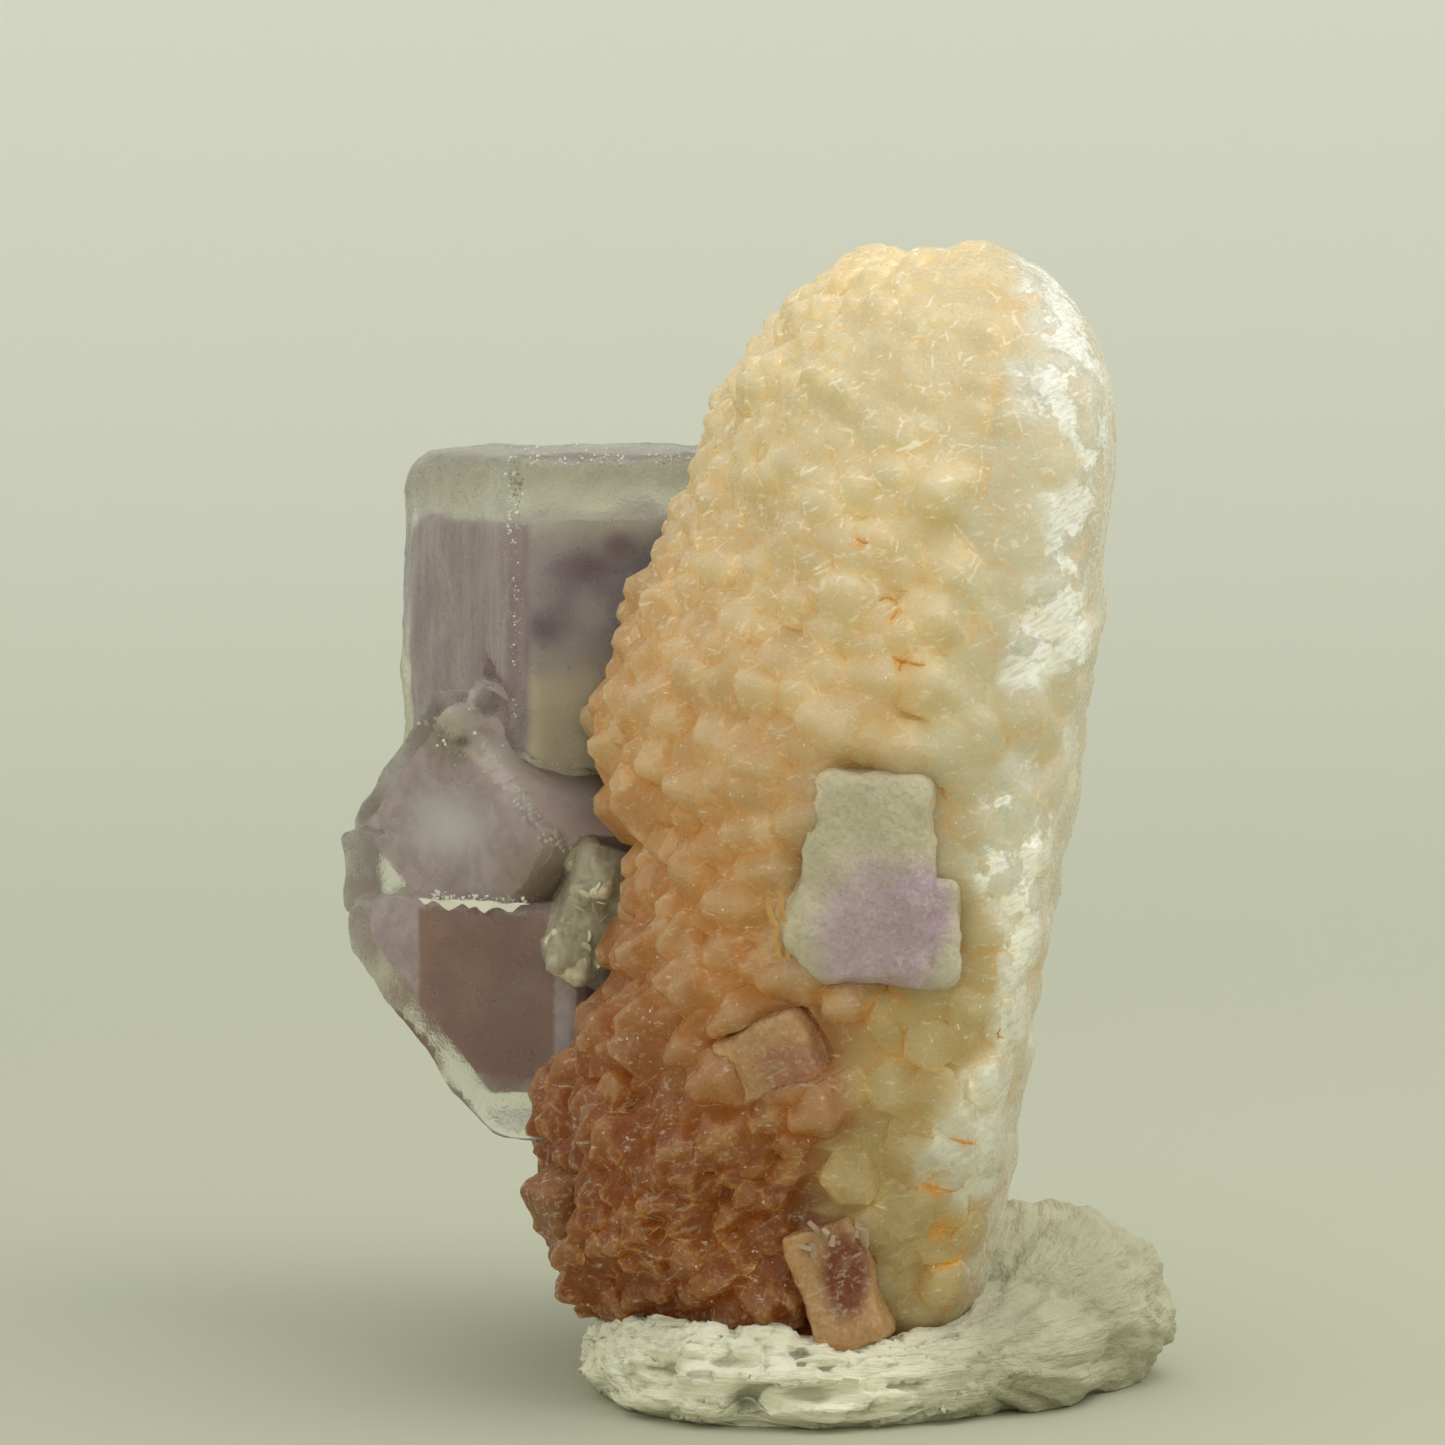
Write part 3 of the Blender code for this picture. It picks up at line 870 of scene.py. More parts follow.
def build_putty():
    bm = bmesh.new()
    add_ball(bm, *PAD)
    for lump in LUMPS:
        add_ball(bm, *lump)
    places = strand_places()
    for x, y, z, radius in places:
        add_ball(bm, (x, y, z), (radius,) * 3)
    add_torn_strips(bm, places)
    putty = object_from(bm, "kneaded_putty", closed=False)
    remesh = putty.modifiers.new("one_skin", "REMESH")
    remesh.mode = "VOXEL"
    remesh.voxel_size = 0.27 * MM
    settle(putty)
    bm = bmesh.new()
    bm.from_mesh(putty.data)
    bmesh.ops.smooth_vert(bm, verts=bm.verts, factor=0.5, use_axis_x=True, use_axis_y=True, use_axis_z=True)
    bm.normal_update()
    moves = [(vert, vert.normal.copy(), vert.co / MM) for vert in bm.verts]
    for vert, outward, place in moves:
        vert.co += outward * MM * (fold_height(place) - hollow_depth(place))
    geometry = bm.verts[:] + bm.edges[:] + bm.faces[:]
    bmesh.ops.bisect_plane(bm, geom=geometry, plane_co=(0, 0, 0), plane_no=(0, 0, 1), clear_inner=True)
    bmesh.ops.holes_fill(bm, edges=bm.edges)
    bm.to_mesh(putty.data)
    bm.free()
    mark_cavity(putty.data)
    putty.data.shade_smooth()
    return putty


def node(tree, kind, inputs=None, **settings):
    """A shader node. Each input is a constant or the socket that feeds it."""
    made = tree.nodes.new(kind)
    for name, value in settings.items():
        setattr(made, name, value)
    for name, value in (inputs or {}).items():
        feed(tree, made.inputs[name], value)
    return made


def feed(tree, socket, value):
    """Links a socket to another, or sets its constant. A colour may leave out its fourth number."""
    if isinstance(value, bpy.types.NodeSocket):
        tree.links.new(value, socket)
    elif socket.type == "RGBA" and len(value) == 3:
        socket.default_value = (*value, 1.0)
    else:
        socket.default_value = value


def feed_all(tree, shader, values):
    for name, value in values.items():
        feed(tree, shader.inputs[name], value)


def place_in_mm(tree):
    position = node(tree, "ShaderNodeNewGeometry").outputs["Position"]
    return vector_times(tree, position, (1 / MM,) * 3)


def grain(tree, place, scale, detail=3.0, roughness=0.55, stretch=(1.0, 1.0, 1.0)):
    """Noise from 0 to 1, at so many features a millimetre."""
    stretched = vector_times(tree, place, stretch)
    inputs = {"Vector": stretched, "Scale": scale, "Detail": detail, "Roughness": roughness}
    return node(tree, "ShaderNodeTexNoise", inputs).outputs["Fac"]


def ramp(tree, value, low, high, to_low=0.0, to_high=1.0):
    """A smooth step from one value to another."""
    inputs = {"Value": value, "From Min": low, "From Max": high, "To Min": to_low, "To Max": to_high}
    return node(tree, "ShaderNodeMapRange", inputs, interpolation_type="SMOOTHSTEP").outputs["Result"]


def maths(tree, operation, first, second=0.0):
    return node(tree, "ShaderNodeMath", {0: first, 1: second}, operation=operation).outputs[0]


def times(tree, *factors):
    product = factors[0]
    for factor in factors[1:]:
        product = maths(tree, "MULTIPLY", product, factor)
    return product


def vector_maths(tree, operation, first, second=(0.0, 0.0, 0.0)):
    """A vector operation's result: a number for a length or a dot product, otherwise a vector."""
    made = node(tree, "ShaderNodeVectorMath", {0: first, 1: second}, operation=operation)
    return made.outputs["Value" if operation in ("LENGTH", "DOT_PRODUCT") else "Vector"]


def vector_times(tree, first, second):
    return vector_maths(tree, "MULTIPLY", first, second)


def height_of(tree, place):
    return node(tree, "ShaderNodeSeparateXYZ", {0: place}).outputs["Z"]


def blend(tree, factor, first, second, how="MIX"):
    """Two colours mixed; each is a constant or a socket."""
    made = node(tree, "ShaderNodeMix", data_type="RGBA", blend_type=how)
    feed(tree, made.inputs[0], factor)
    feed(tree, made.inputs[6], first)
    feed(tree, made.inputs[7], second)
    return made.outputs[2]


def edge_nearness(tree, reach):
    """1 right at a convex edge and 0 beyond a reach in millimetres."""
    made = node(tree, "ShaderNodeAmbientOcclusion", {"Distance": reach * MM}, samples=1, inside=True)
    made.only_local = True
    return maths(tree, "SUBTRACT", 1.0, made.outputs["AO"])


def attribute(tree, name):
    return node(tree, "ShaderNodeAttribute", attribute_name=name).outputs["Fac"]


def bump(tree, height, strength, distance):
    inputs = {"Height": height, "Strength": strength, "Distance": distance}
    return node(tree, "ShaderNodeBump", inputs).outputs["Normal"]


def blob(tree, place, centre, half_sizes, soft=0.5):
    """1 in the middle of an ellipsoid, falling to 0 at its border."""
    moved = vector_maths(tree, "SUBTRACT", place, centre)
    scaled = vector_times(tree, moved, [1.0 / half for half in half_sizes])
    return ramp(tree, vector_maths(tree, "LENGTH", scaled), 1.0 - soft, 1.0, 1.0, 0.0)


def along_axis(tree, place, centre, axis):
    """How far a place lies from a centre along a direction."""
    return vector_maths(tree, "DOT_PRODUCT", vector_maths(tree, "SUBTRACT", place, centre), axis)


def new_material(name):
    material = bpy.data.materials.new(name)
    material.use_nodes = True
    return material, material.node_tree, material.node_tree.nodes["Principled BSDF"]


def wobbled(tree, place, scale, amount):
    """Places moved about by smooth noise, which makes straight patterns crooked."""
    inputs = {"Vector": place, "Scale": scale, "Detail": 0.0}
    return blend(tree, amount, place, node(tree, "ShaderNodeTexNoise", inputs).outputs["Color"])


def cell_values(tree, place, scale):
    """A random colour for each small cell, with crooked borders."""
    inputs = {"Vector": wobbled(tree, place, 1.5, 0.12), "Scale": scale}
    return node(tree, "ShaderNodeTexVoronoi", inputs).outputs["Color"]


def scale_pattern(tree, place, scale):
    """Small overlapping crystals: the slope across each one, and the distance to its border."""
    crooked = wobbled(tree, place, 0.9, 0.25)
    inputs = {"Vector": crooked, "Scale": scale}
    nearest = node(tree, "ShaderNodeTexVoronoi", inputs)
    local = vector_maths(tree, "SUBTRACT", crooked, nearest.outputs["Position"])
    slope = vector_maths(tree, "DOT_PRODUCT", local, (-0.75, -0.3, -0.6))
    border = node(tree, "ShaderNodeTexVoronoi", inputs, feature="DISTANCE_TO_EDGE")
    return slope, border.outputs["Distance"]


def slanted_grain(tree, place, scale):
    """Streaks that rise towards the right, across the plate's near side."""
    axes = node(tree, "ShaderNodeSeparateXYZ", {0: place})
    along = along_axis(tree, place, (0.0, 0.0, 0.0), (0.5, 0.0, 0.24))
    across = along_axis(tree, place, (0.0, 0.0, 0.0), (-1.1, 0.0, 2.3))
    turned = node(tree, "ShaderNodeCombineXYZ", {0: along, 1: across, 2: axes.outputs["Y"]}).outputs[0]
    return grain(tree, turned, scale, 3.0, 0.6)


def quartz_body(tree, place, side, glass):
    """The stone's colour: cream above, peach in the middle, red-brown in the lower left, where painted
    shade deepens its own tone.
    """
    axes = node(tree, "ShaderNodeSeparateXYZ", {0: place})
    height = axes.outputs["Z"]
    # Warmer towards the lower left: partly the stone's own tone, partly painted shade.
    low = times(tree, maths(tree, "SUBTRACT", 38.0, height), 0.026)
    front = times(tree, maths(tree, "SUBTRACT", 6.0, axes.outputs["X"]), 0.03)
    clouds = times(tree, grain(tree, place, 0.12, 2.0), 0.3)
    warm = ramp(tree, maths(tree, "ADD", maths(tree, "ADD", low, front), clouds), -0.3, 1.0)
    # Painted shade: near black-brown towards the bottom and the left, broken up by the clouds.
    shaded = maths(tree, "ADD", height, times(tree, axes.outputs["X"], 0.55))
    shaded = ramp(tree, maths(tree, "SUBTRACT", shaded, times(tree, clouds, 8.0)), 29.0, 8.0)
    body = blend(tree, warm, (0.65, 0.54, 0.33), (0.45, 0.195, 0.045))
    body = blend(tree, ramp(tree, height, 42.0, 54.0), body, (0.61, 0.51, 0.31))
    body = blend(tree, ramp(tree, attribute(tree, "tint"), 0.3, 1.0, 0.0, 0.35), body, (0.80, 0.68, 0.44))
    body = blend(tree, shaded, body, (0.20, 0.05, 0.01))
    body = blend(tree, side, body, (0.46, 0.35, 0.16))
    upper_side = times(tree, side, ramp(tree, height, 20.0, 42.0))
    body = blend(tree, upper_side, body, (0.63, 0.57, 0.40))
    body = blend(tree, glass, body, (0.66, 0.64, 0.53))
    body = blend(tree, attribute(tree, "back"), body, (0.62, 0.58, 0.45))
    # The darker colour for the veils, and for the painted shade in hollows, creases and across the small
    # scales.
    deep = blend(tree, warm, (0.74, 0.50, 0.23), (0.54, 0.21, 0.05))
    return body, blend(tree, shaded, deep, (0.20, 0.06, 0.01))


def quartz_material():
    material, tree, shader = new_material("quartz_finish")
    place = place_in_mm(tree)
    side = attribute(tree, "side")
    glass = attribute(tree, "glass")
    body, deep = quartz_body(tree, place, side, glass)
    veil = grain(tree, place, 1.4, 4.0, 0.65)
    body = blend(tree, ramp(tree, veil, 0.35, 0.7, 0.0, 0.22), body, deep)
    calmer = maths(tree, "SUBTRACT", 1.0, times(tree, side, 0.7))
    # Painted shade in the hollows, weaker on the broken side.
    hollow_shade = times(tree, ramp(tree, attribute(tree, "cavity"), -0.1, 0.7, 0.0, 0.3), calmer)
    body = blend(tree, hollow_shade, body, deep)
    rust = times(tree, attribute(tree, "rust"), ramp(tree, veil, 0.35, 0.55, 0.3, 1.0))
    body = blend(tree, rust, body, (0.70, 0.34, 0.05))
    sugar = grain(tree, place, 4.0, 1.0)
    crumbled = attribute(tree, "crumbled")
    # Ridges that stand out are paler: partly sugary crust, partly painted highlight.
    sugar_and_highlight = blend(tree, 0.55, body, blend(tree, crumbled, (0.98, 0.84, 0.58), (0.90, 0.54, 0.22)))
    body = blend(tree, ramp(tree, attribute(tree, "cavity"), -0.05, -0.6, 0.0, 0.25), body, sugar_and_highlight)
    # Painted shade in the creases between crystals, weaker on the broken side.
    joint_shade = ramp(tree, attribute(tree, "crease"), 0.3, 1.0, 0.0, 0.28)
    body = blend(tree, times(tree, joint_shade, calmer), body, deep)
    # Painted highlight along convex edges, broken up by noise; partly sugary crust.
    sugary_highlight_rim = ramp(tree, edge_nearness(tree, 0.28), 0.12, 0.4)
    sugary_highlight_rim = times(tree, sugary_highlight_rim, ramp(tree, grain(tree, place, 1.5, 3.0), 0.3, 0.6, 0.2, 0.95))
    body = blend(tree, sugary_highlight_rim, body, sugar_and_highlight)
    crumbs = ramp(tree, grain(tree, place, 2.2, 3.0, 0.7), 0.5, 0.62, 0.0, 0.55)
    crumbs = times(tree, crumbs, ramp(tree, attribute(tree, "cavity"), 0.1, -0.3))
    body = blend(tree, times(tree, crumbs, crumbled), body, (0.50, 0.27, 0.08))
    # Painted glints: tiny white specks.
    glints = ramp(tree, grain(tree, place, 4.4, 1.0, stretch=(1.0, 1.0, 0.6)), 0.74, 0.79, 0.0, 0.55)
    body = blend(tree, glints, body, (1.0, 0.97, 0.88))
    top = ramp(tree, height_of(tree, place), 34.0, 50.0, 0.25, 1.0)
    slope, border = scale_pattern(tree, place, 0.7)
    # Lighter borders of the small scales towards the top: partly their outlines, partly painted highlight.
    outline = ramp(tree, border, 0.05, 0.015, 0.0, 0.6)
    outline = times(tree, outline, top, ramp(tree, veil, 0.5, 0.62))
    body = blend(tree, outline, body, blend(tree, 0.7, body, (1.0, 0.97, 0.85)))
    # Painted shade across each small scale, darker towards one side.
    shaded_scale = times(tree, ramp(tree, slope, 0.3, -0.6), top)
    body = blend(tree, times(tree, shaded_scale, 0.2), body, deep)
    # Painted glints: fine bright flecks towards the top.
    glint_flecks = ramp(tree, slanted_grain(tree, place, 1.0), 0.62, 0.7, 0.0, 0.5)
    body = blend(tree, times(tree, glint_flecks, top), body, (0.98, 0.94, 0.80))
    patch_noise = grain(tree, place, 0.4, 4.0, 0.6)
    grey_grain = ramp(tree, slanted_grain(tree, place, 1.6), 0.4, 0.6)
    grey = times(tree, ramp(tree, patch_noise, 0.40, 0.46), grey_grain, glass, 0.5)
    body = blend(tree, grey, body, (0.50, 0.52, 0.45))
    glass = times(tree, glass, ramp(tree, height_of(tree, place), 15.0, 34.0, 0.3, 1.0))
    # Painted reflections: bright white patches on the clear, broken quartz.
    bright_grain = ramp(tree, slanted_grain(tree, place, 2.2), 0.35, 0.6, 0.3, 0.85)
    bright = times(tree, ramp(tree, patch_noise, 0.5, 0.54), bright_grain, glass)
    body = blend(tree, bright, body, (0.98, 0.98, 0.92))
    # Painted glints: whitish streaks.
    streaks = grain(tree, place, 1.1, 4.0, 0.7, stretch=(1.0, 1.0, 2.6))
    glint_streak = ramp(tree, streaks, 0.58, 0.72, 0.0, 0.6)
    body = blend(tree, glint_streak, body, blend(tree, 0.6, body, (1.0, 0.95, 0.80)))
    feed(tree, shader.inputs["Base Color"], body)
    glassy_gloss = times(tree, glass, 0.16)
    dull = ramp(tree, sugar, 0.3, 0.7, 0.24, 0.5)
    feed(tree, shader.inputs["Roughness"], maths(tree, "SUBTRACT", dull, glassy_gloss))
    tilt = vector_maths(tree, "SUBTRACT", cell_values(tree, place, 1.1), (0.5, 0.5, 0.5))
    tilt = vector_times(tree, tilt, times(tree, glass, 0.4))
    relief_height = maths(tree, "ADD", times(tree, sugar, 2.0), times(tree, slope, top, 6.0))
    bumped = bump(tree, relief_height, 0.4, 0.12 * MM)
    normal = vector_maths(tree, "NORMALIZE", vector_maths(tree, "ADD", bumped, tilt))
    feed(tree, shader.inputs["Normal"], normal)
    shader.subsurface_method = "BURLEY"
    feed_all(tree, shader, {
        "Specular IOR Level": 0.3,
        "IOR": 1.54,
        "Subsurface Weight": 1.0,
        "Subsurface Radius": (1.0, 0.8, 0.5),
        "Subsurface Scale": 4.0 * MM,
    })
    return material


def window(tree, value, low, high, soft):
    """1 between two limits and 0 outside them."""
    rising = ramp(tree, value, low - soft, low + soft)
    return times(tree, rising, ramp(tree, value, high + soft, high - soft))


def upper_zones(tree, place):
    """The upper phantom: brownish purple on its left face, bluish with dark patches on the near one."""
    axis = (math.cos(math.radians(22)), math.sin(math.radians(22)), 0.0)
    across = along_axis(tree, place, (-8.8, 17.5, 41.1), axis)
    height = height_of(tree, place)
    near_face = ramp(tree, across, -7.8, -7.3)
    clouds = grain(tree, place, 0.3, 3.0)
    yield near_face, blend(tree, ramp(tree, clouds, 0.35, 0.65), (0.33, 0.27, 0.42), (0.52, 0.46, 0.56))
    yield times(tree, near_face, ramp(tree, height, 43.8, 46.6)), (0.70, 0.66, 0.60)
    for colour, centre, half_sizes in (
        ((0.20, 0.13, 0.26), (-11.8, 8.0, 40.5), (1.9, 30.0, 1.5)),
        ((0.24, 0.13, 0.22), (-9.4, 8.0, 43.8), (2.6, 30.0, 1.2)),
        ((0.26, 0.15, 0.22), (-7.6, 8.0, 45.0), (1.6, 30.0, 1.2)),
        ((0.62, 0.55, 0.60), (-9.1, 8.0, 41.2), (1.5, 30.0, 1.4)),
    ):
        patch = blob(tree, place, centre, half_sizes, 0.9)
        yield times(tree, patch, near_face), colour
    low = maths(tree, "ADD", height, times(tree, clouds, 5.0))
    yield times(tree, near_face, ramp(tree, low, 43.6, 39.0, 0.0, 0.85)), (1.0, 0.90, 0.66)


def lower_zones(tree, place):
    """The lower phantoms: lilac above with a painted sheen, a facet right of the ridge painted lighter
    against its shade, and a sharp-edged brown-purple square below the ledge.
    """
    axes = node(tree, "ShaderNodeSeparateXYZ", {0: place})
    x, z = axes.outputs["X"], axes.outputs["Z"]
    clouds = grain(tree, place, 0.28, 3.0)
    past_ridge = maths(tree, "ADD", x, times(tree, maths(tree, "SUBTRACT", z, 32.7), 1.06))
    # The facet right of the ridge: its own lilac, painted lighter against the shade of the quartz beside
    # it.
    right_facet = times(tree, ramp(tree, past_ridge, -14.9, -14.5), ramp(tree, z, 26.6, 27.4))
    yield right_facet, blend(tree, ramp(tree, clouds, 0.35, 0.65), (0.92, 0.72, 0.76), (1.0, 0.92, 0.88))
    yield blob(tree, place, (-11.8, 5.0, 27.0), (2.8, 30.0, 2.8), 0.8), (0.46, 0.32, 0.22)
    # The lilac zone, brightened by a painted sheen.
    yield blob(tree, place, (-16.9, 5.0, 29.6), (3.8, 30.0, 2.8), 0.95), (1.0, 0.94, 1.0)
    square = times(tree, window(tree, x, -18.4, -10.8, 0.12), window(tree, z, 16.0, 24.8, 0.12))
    yield square, blend(tree, ramp(tree, clouds, 0.35, 0.65), (0.30, 0.08, 0.05), (0.42, 0.16, 0.10))
    yield blob(tree, place, (-13.4, 5.0, 17.6), (2.8, 30.0, 3.4), 0.6), (0.28, 0.05, 0.03)
    yield blob(tree, place, (-9.8, 5.0, 17.8), (1.2, 30.0, 2.4), 0.8), (0.60, 0.48, 0.58)


def upper_marks(tree, place):
    """On the upper crystal's surface: the frosted, bluish grey top edge of its near face."""
    height = height_of(tree, place)
    frosty = maths(tree, "ADD", height, times(tree, grain(tree, place, 0.8, 4.0), 3.0))
    yield ramp(tree, frosty, 47.5, 51.0), (0.54, 0.50, 0.48)


def lower_marks(tree, place):
    """On the lower crystal's surface: the sugary grey-green top, the ridge and the bright window."""
    axes = node(tree, "ShaderNodeSeparateXYZ", {0: place})
    x, z = axes.outputs["X"], axes.outputs["Z"]
    crooked = grain(tree, place, 0.9, 2.0)
    yield blob(tree, place, (-16.8, 7.0, 34.6), (3.2, 8.0, 2.6), 0.8), (0.62, 0.60, 0.46)
    yield blob(tree, place, (-16.1, 7.0, 34.3), (0.7, 8.0, 0.5), 0.8), (0.10, 0.06, 0.05)
    yield blob(tree, place, (-14.7, 7.0, 37.0), (1.4, 8.0, 0.7), 0.6), (1.0, 1.0, 0.93)
    past_ridge = maths(tree, "ADD", x, times(tree, maths(tree, "SUBTRACT", z, 32.7), 1.06))
    past_ridge = maths(tree, "ADD", past_ridge, times(tree, crooked, 0.8))
    ridge = times(tree, window(tree, past_ridge, -14.7, -14.2, 0.2), window(tree, z, 28.0, 33.5, 0.5))
    yield times(tree, ridge, 0.7), (0.95, 0.92, 0.84)
    clear_part = blob(tree, place, (-8.8, 3.0, 24.6), (2.6, 6.0, 5.0), 0.6)
    fractures = ramp(tree, grain(tree, place, 1.0, 4.0), 0.5, 0.6, 0.2, 0.9)
    yield times(tree, clear_part, fractures), (0.84, 0.84, 0.66)


def blob_zones(zones):
    """Soft-edged coloured zones, from their colours, centres and half sizes."""

    def paint(tree, place):
        dust = grain(tree, place, 0.9, 4.0)
        for colour, centre, half_sizes in zones:
            mask = blob(tree, place, centre, half_sizes, 0.75)
            yield ramp(tree, maths(tree, "ADD", mask, times(tree, dust, 0.3)), 0.15, 1.1), colour

    return paint


def fluorite_material(name, clear, dusty, see_through, frost, tone, density, zones=blob_zones(())):
    """Frosted fluorite: clear with dust on its faces, coloured zones near the surface, painted glints and
    painted highlight along its edges.
    """
    material, tree, shader = new_material(name)
    place = place_in_mm(tree)
    dust = grain(tree, place, 1.2, 4.0)
    frosted = see_through < 0.5
    speckle = grain(tree, place, 3.2 if frosted else 5.0, 3.0)
    colour = clear
    for mask, zone_colour in zones(tree, place):
        colour = blend(tree, mask, colour, zone_colour)
    colour = blend(tree, ramp(tree, dust, 0.45, 0.8, 0.0, 0.4), colour, dusty)
    if frosted:
        darker = blend(tree, 1.0, colour, (0.74, 0.72, 0.72), "MULTIPLY")
        colour = blend(tree, ramp(tree, grain(tree, place, 3.6, 2.0), 0.48, 0.38, 0.0, 0.5), colour, darker)
    # Painted glints: light specks, fewer on the clear crystals.
    glint_colour = blend(tree, 0.5, dusty, (1.0, 0.97, 0.88))
    colour = blend(tree, ramp(tree, speckle, 0.54, 0.66, 0.0, 0.5 if frosted else 0.2), colour, glint_colour)
    if frosted:
        # Painted highlight along the edges, partly sugary grains.
        sugary_highlight_rim = ramp(tree, edge_nearness(tree, 0.3), 0.1, 0.4, 0.0, 0.8)
        colour = blend(tree, times(tree, sugary_highlight_rim, ramp(tree, dust, 0.3, 0.6)), colour, glint_colour)
        # Painted glints in slanted streaks.
        streaks = ramp(tree, slanted_grain(tree, place, 1.3), 0.6, 0.68, 0.0, 0.6)
        colour = blend(tree, streaks, colour, glint_colour)
    feed(tree, shader.inputs["Base Color"], colour)
    mixed = maths(tree, "ADD", dust, times(tree, speckle, 0.4))
    feed(tree, shader.inputs["Roughness"], ramp(tree, mixed, 0.4, 0.95, frost - 0.1, frost + 0.15))
    feed(tree, shader.inputs["Normal"], bump(tree, speckle, 0.6 if frosted else 0.25, 0.15 * MM))
    feed_all(tree, shader, {"Transmission Weight": see_through, "IOR": 1.434})
    absorption = node(tree, "ShaderNodeVolumeAbsorption", {"Color": tone, "Density": density})
    tree.links.new(absorption.outputs[0], tree.nodes["Material Output"].inputs["Volume"])
    return material


def phantom_material(name, dark, light, zones, stretch=(1.0, 1.0, 1.0)):
    """The purple of a phantom, cloudy or streaked, with its own zones."""
    material, tree, shader = new_material(name)
    place = place_in_mm(tree)
    streaks = grain(tree, place, 1.3, 3.0, stretch=stretch)
    colour = blend(tree, ramp(tree, streaks, 0.35, 0.7), dark, light)
    for mask, zone_colour in zones(tree, place):
        colour = blend(tree, mask, colour, zone_colour)
    feed(tree, shader.inputs["Base Color"], colour)
    shader.inputs["Roughness"].default_value = 0.7
    return material


def grain_material(name, colour):
    material, tree, shader = new_material(name)
    feed_all(tree, shader, {"Base Color": colour, "Roughness": 0.35})
    return material


def strand_grain(tree, place, scale):
    """Fibres that run along the rolled strand, round the foot of the plate."""
    centred = vector_maths(tree, "SUBTRACT", place, (*PAD[0][:2], 0.0))
    axes = node(tree, "ShaderNodeSeparateXYZ", {0: centred})
    around = maths(tree, "ARCTAN2", axes.outputs["Y"], axes.outputs["X"])
    reach = vector_maths(tree, "LENGTH", vector_times(tree, centred, (1.0, 1.0, 0.0)))
    inputs = {0: times(tree, around, 1.6), 1: reach, 2: axes.outputs["Z"]}
    return grain(tree, node(tree, "ShaderNodeCombineXYZ", inputs).outputs[0], scale, 5.0, 0.6)


def putty_material():
    material, tree, shader = new_material("putty_finish")
    place = place_in_mm(tree)
    axes = node(tree, "ShaderNodeSeparateXYZ", {0: place})
    clouds = grain(tree, place, 0.3, 3.0)
    fine = grain(tree, place, 5.0, 3.0)
    colour = blend(tree, ramp(tree, clouds, 0.35, 0.7), (0.92, 0.89, 0.68), (1.0, 0.98, 0.80))
    in_lump = ramp(tree, axes.outputs["X"], 6.0, 13.0)
    lump = blend(tree, ramp(tree, clouds, 0.35, 0.7), (0.48, 0.46, 0.32), (0.57, 0.55, 0.39))
    colour = blend(tree, in_lump, colour, lump)
    # Painted shade in the hollows of the kneaded surface.
    hollow_shade = ramp(tree, attribute(tree, "cavity"), 0.02, 0.22, 0.0, 0.6)
    colour = blend(tree, hollow_shade, colour, (0.30, 0.29, 0.19))
    # Painted shade in the grooves between the fibres of the strand.
    folds = ramp(tree, strand_grain(tree, place, 1.8), 0.44, 0.34, 0.0, 0.45)
    colour = blend(tree, folds, colour, (0.40, 0.36, 0.24))
    # Painted shade: the holes pressed into the putty are nearly black inside.
    for centre, radius, _depth in PUTTY_HOLLOWS:
        dark = blob(tree, place, centre, (radius * 0.9,) * 3, 0.4)
        colour = blend(tree, dark, colour, (0.05, 0.05, 0.035))
    feed(tree, shader.inputs["Base Color"], colour)
    shader.inputs["Roughness"].default_value = 0.8
    fibres = maths(tree, "ADD", times(tree, strand_grain(tree, place, 1.8), 3.0), times(tree, fine, 0.4))
    feed(tree, shader.inputs["Normal"], bump(tree, fibres, 0.6, 0.3 * MM))
    return material


def dress(piece, material, node_name=""):
    piece.data.materials.clear()
    piece.data.materials.append(material)
    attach(piece, "root")
    if node_name:
        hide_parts(node_name)


def set_up_camera():
    camera = bpy.data.objects.new("camera", bpy.data.cameras.new("camera"))
    bpy.context.scene.collection.objects.link(camera)
    target = Vector((-1.8, 0.0, 35.75)) * MM
    elevation = math.radians(4.0)
    distance = 317.0 * MM
    camera.location = target + distance * Vector((0.0, -math.cos(elevation), math.sin(elevation)))
    camera.rotation_euler = (target - camera.location).to_track_quat("-Z", "Y").to_euler()
    camera.data.sensor_width = 36.0
    camera.data.lens = 146.25
    camera.data.clip_start = 0.01
    bpy.context.scene.camera = camera


def add_area_light(name, place, size, watts, colour):
    data = bpy.data.lights.new(name, "AREA")
    data.shape = "DISK"
    data.size = size * MM
    data.energy = watts
    data.color = colour
    light = bpy.data.objects.new(name, data)
    light.location = Vector(place) * MM
    light.rotation_euler = (Vector((0.0, 0.0, 30.0)) - Vector(place)).to_track_quat("-Z", "Y").to_euler()
    bpy.context.scene.collection.objects.link(light)


def set_up_light():
    world = bpy.data.worlds.new("studio")
    bpy.context.scene.world = world
    world.use_nodes = True
    background = world.node_tree.nodes["Background"]
    feed_all(world.node_tree, background, {"Color": (0.99, 1.0, 0.97), "Strength": 0.96})
    add_area_light("key", (110.0, -30.0, 220.0), 160.0, 0.16, (1.0, 0.99, 0.95))
    bpy.context.scene.view_settings.view_transform = "Standard"


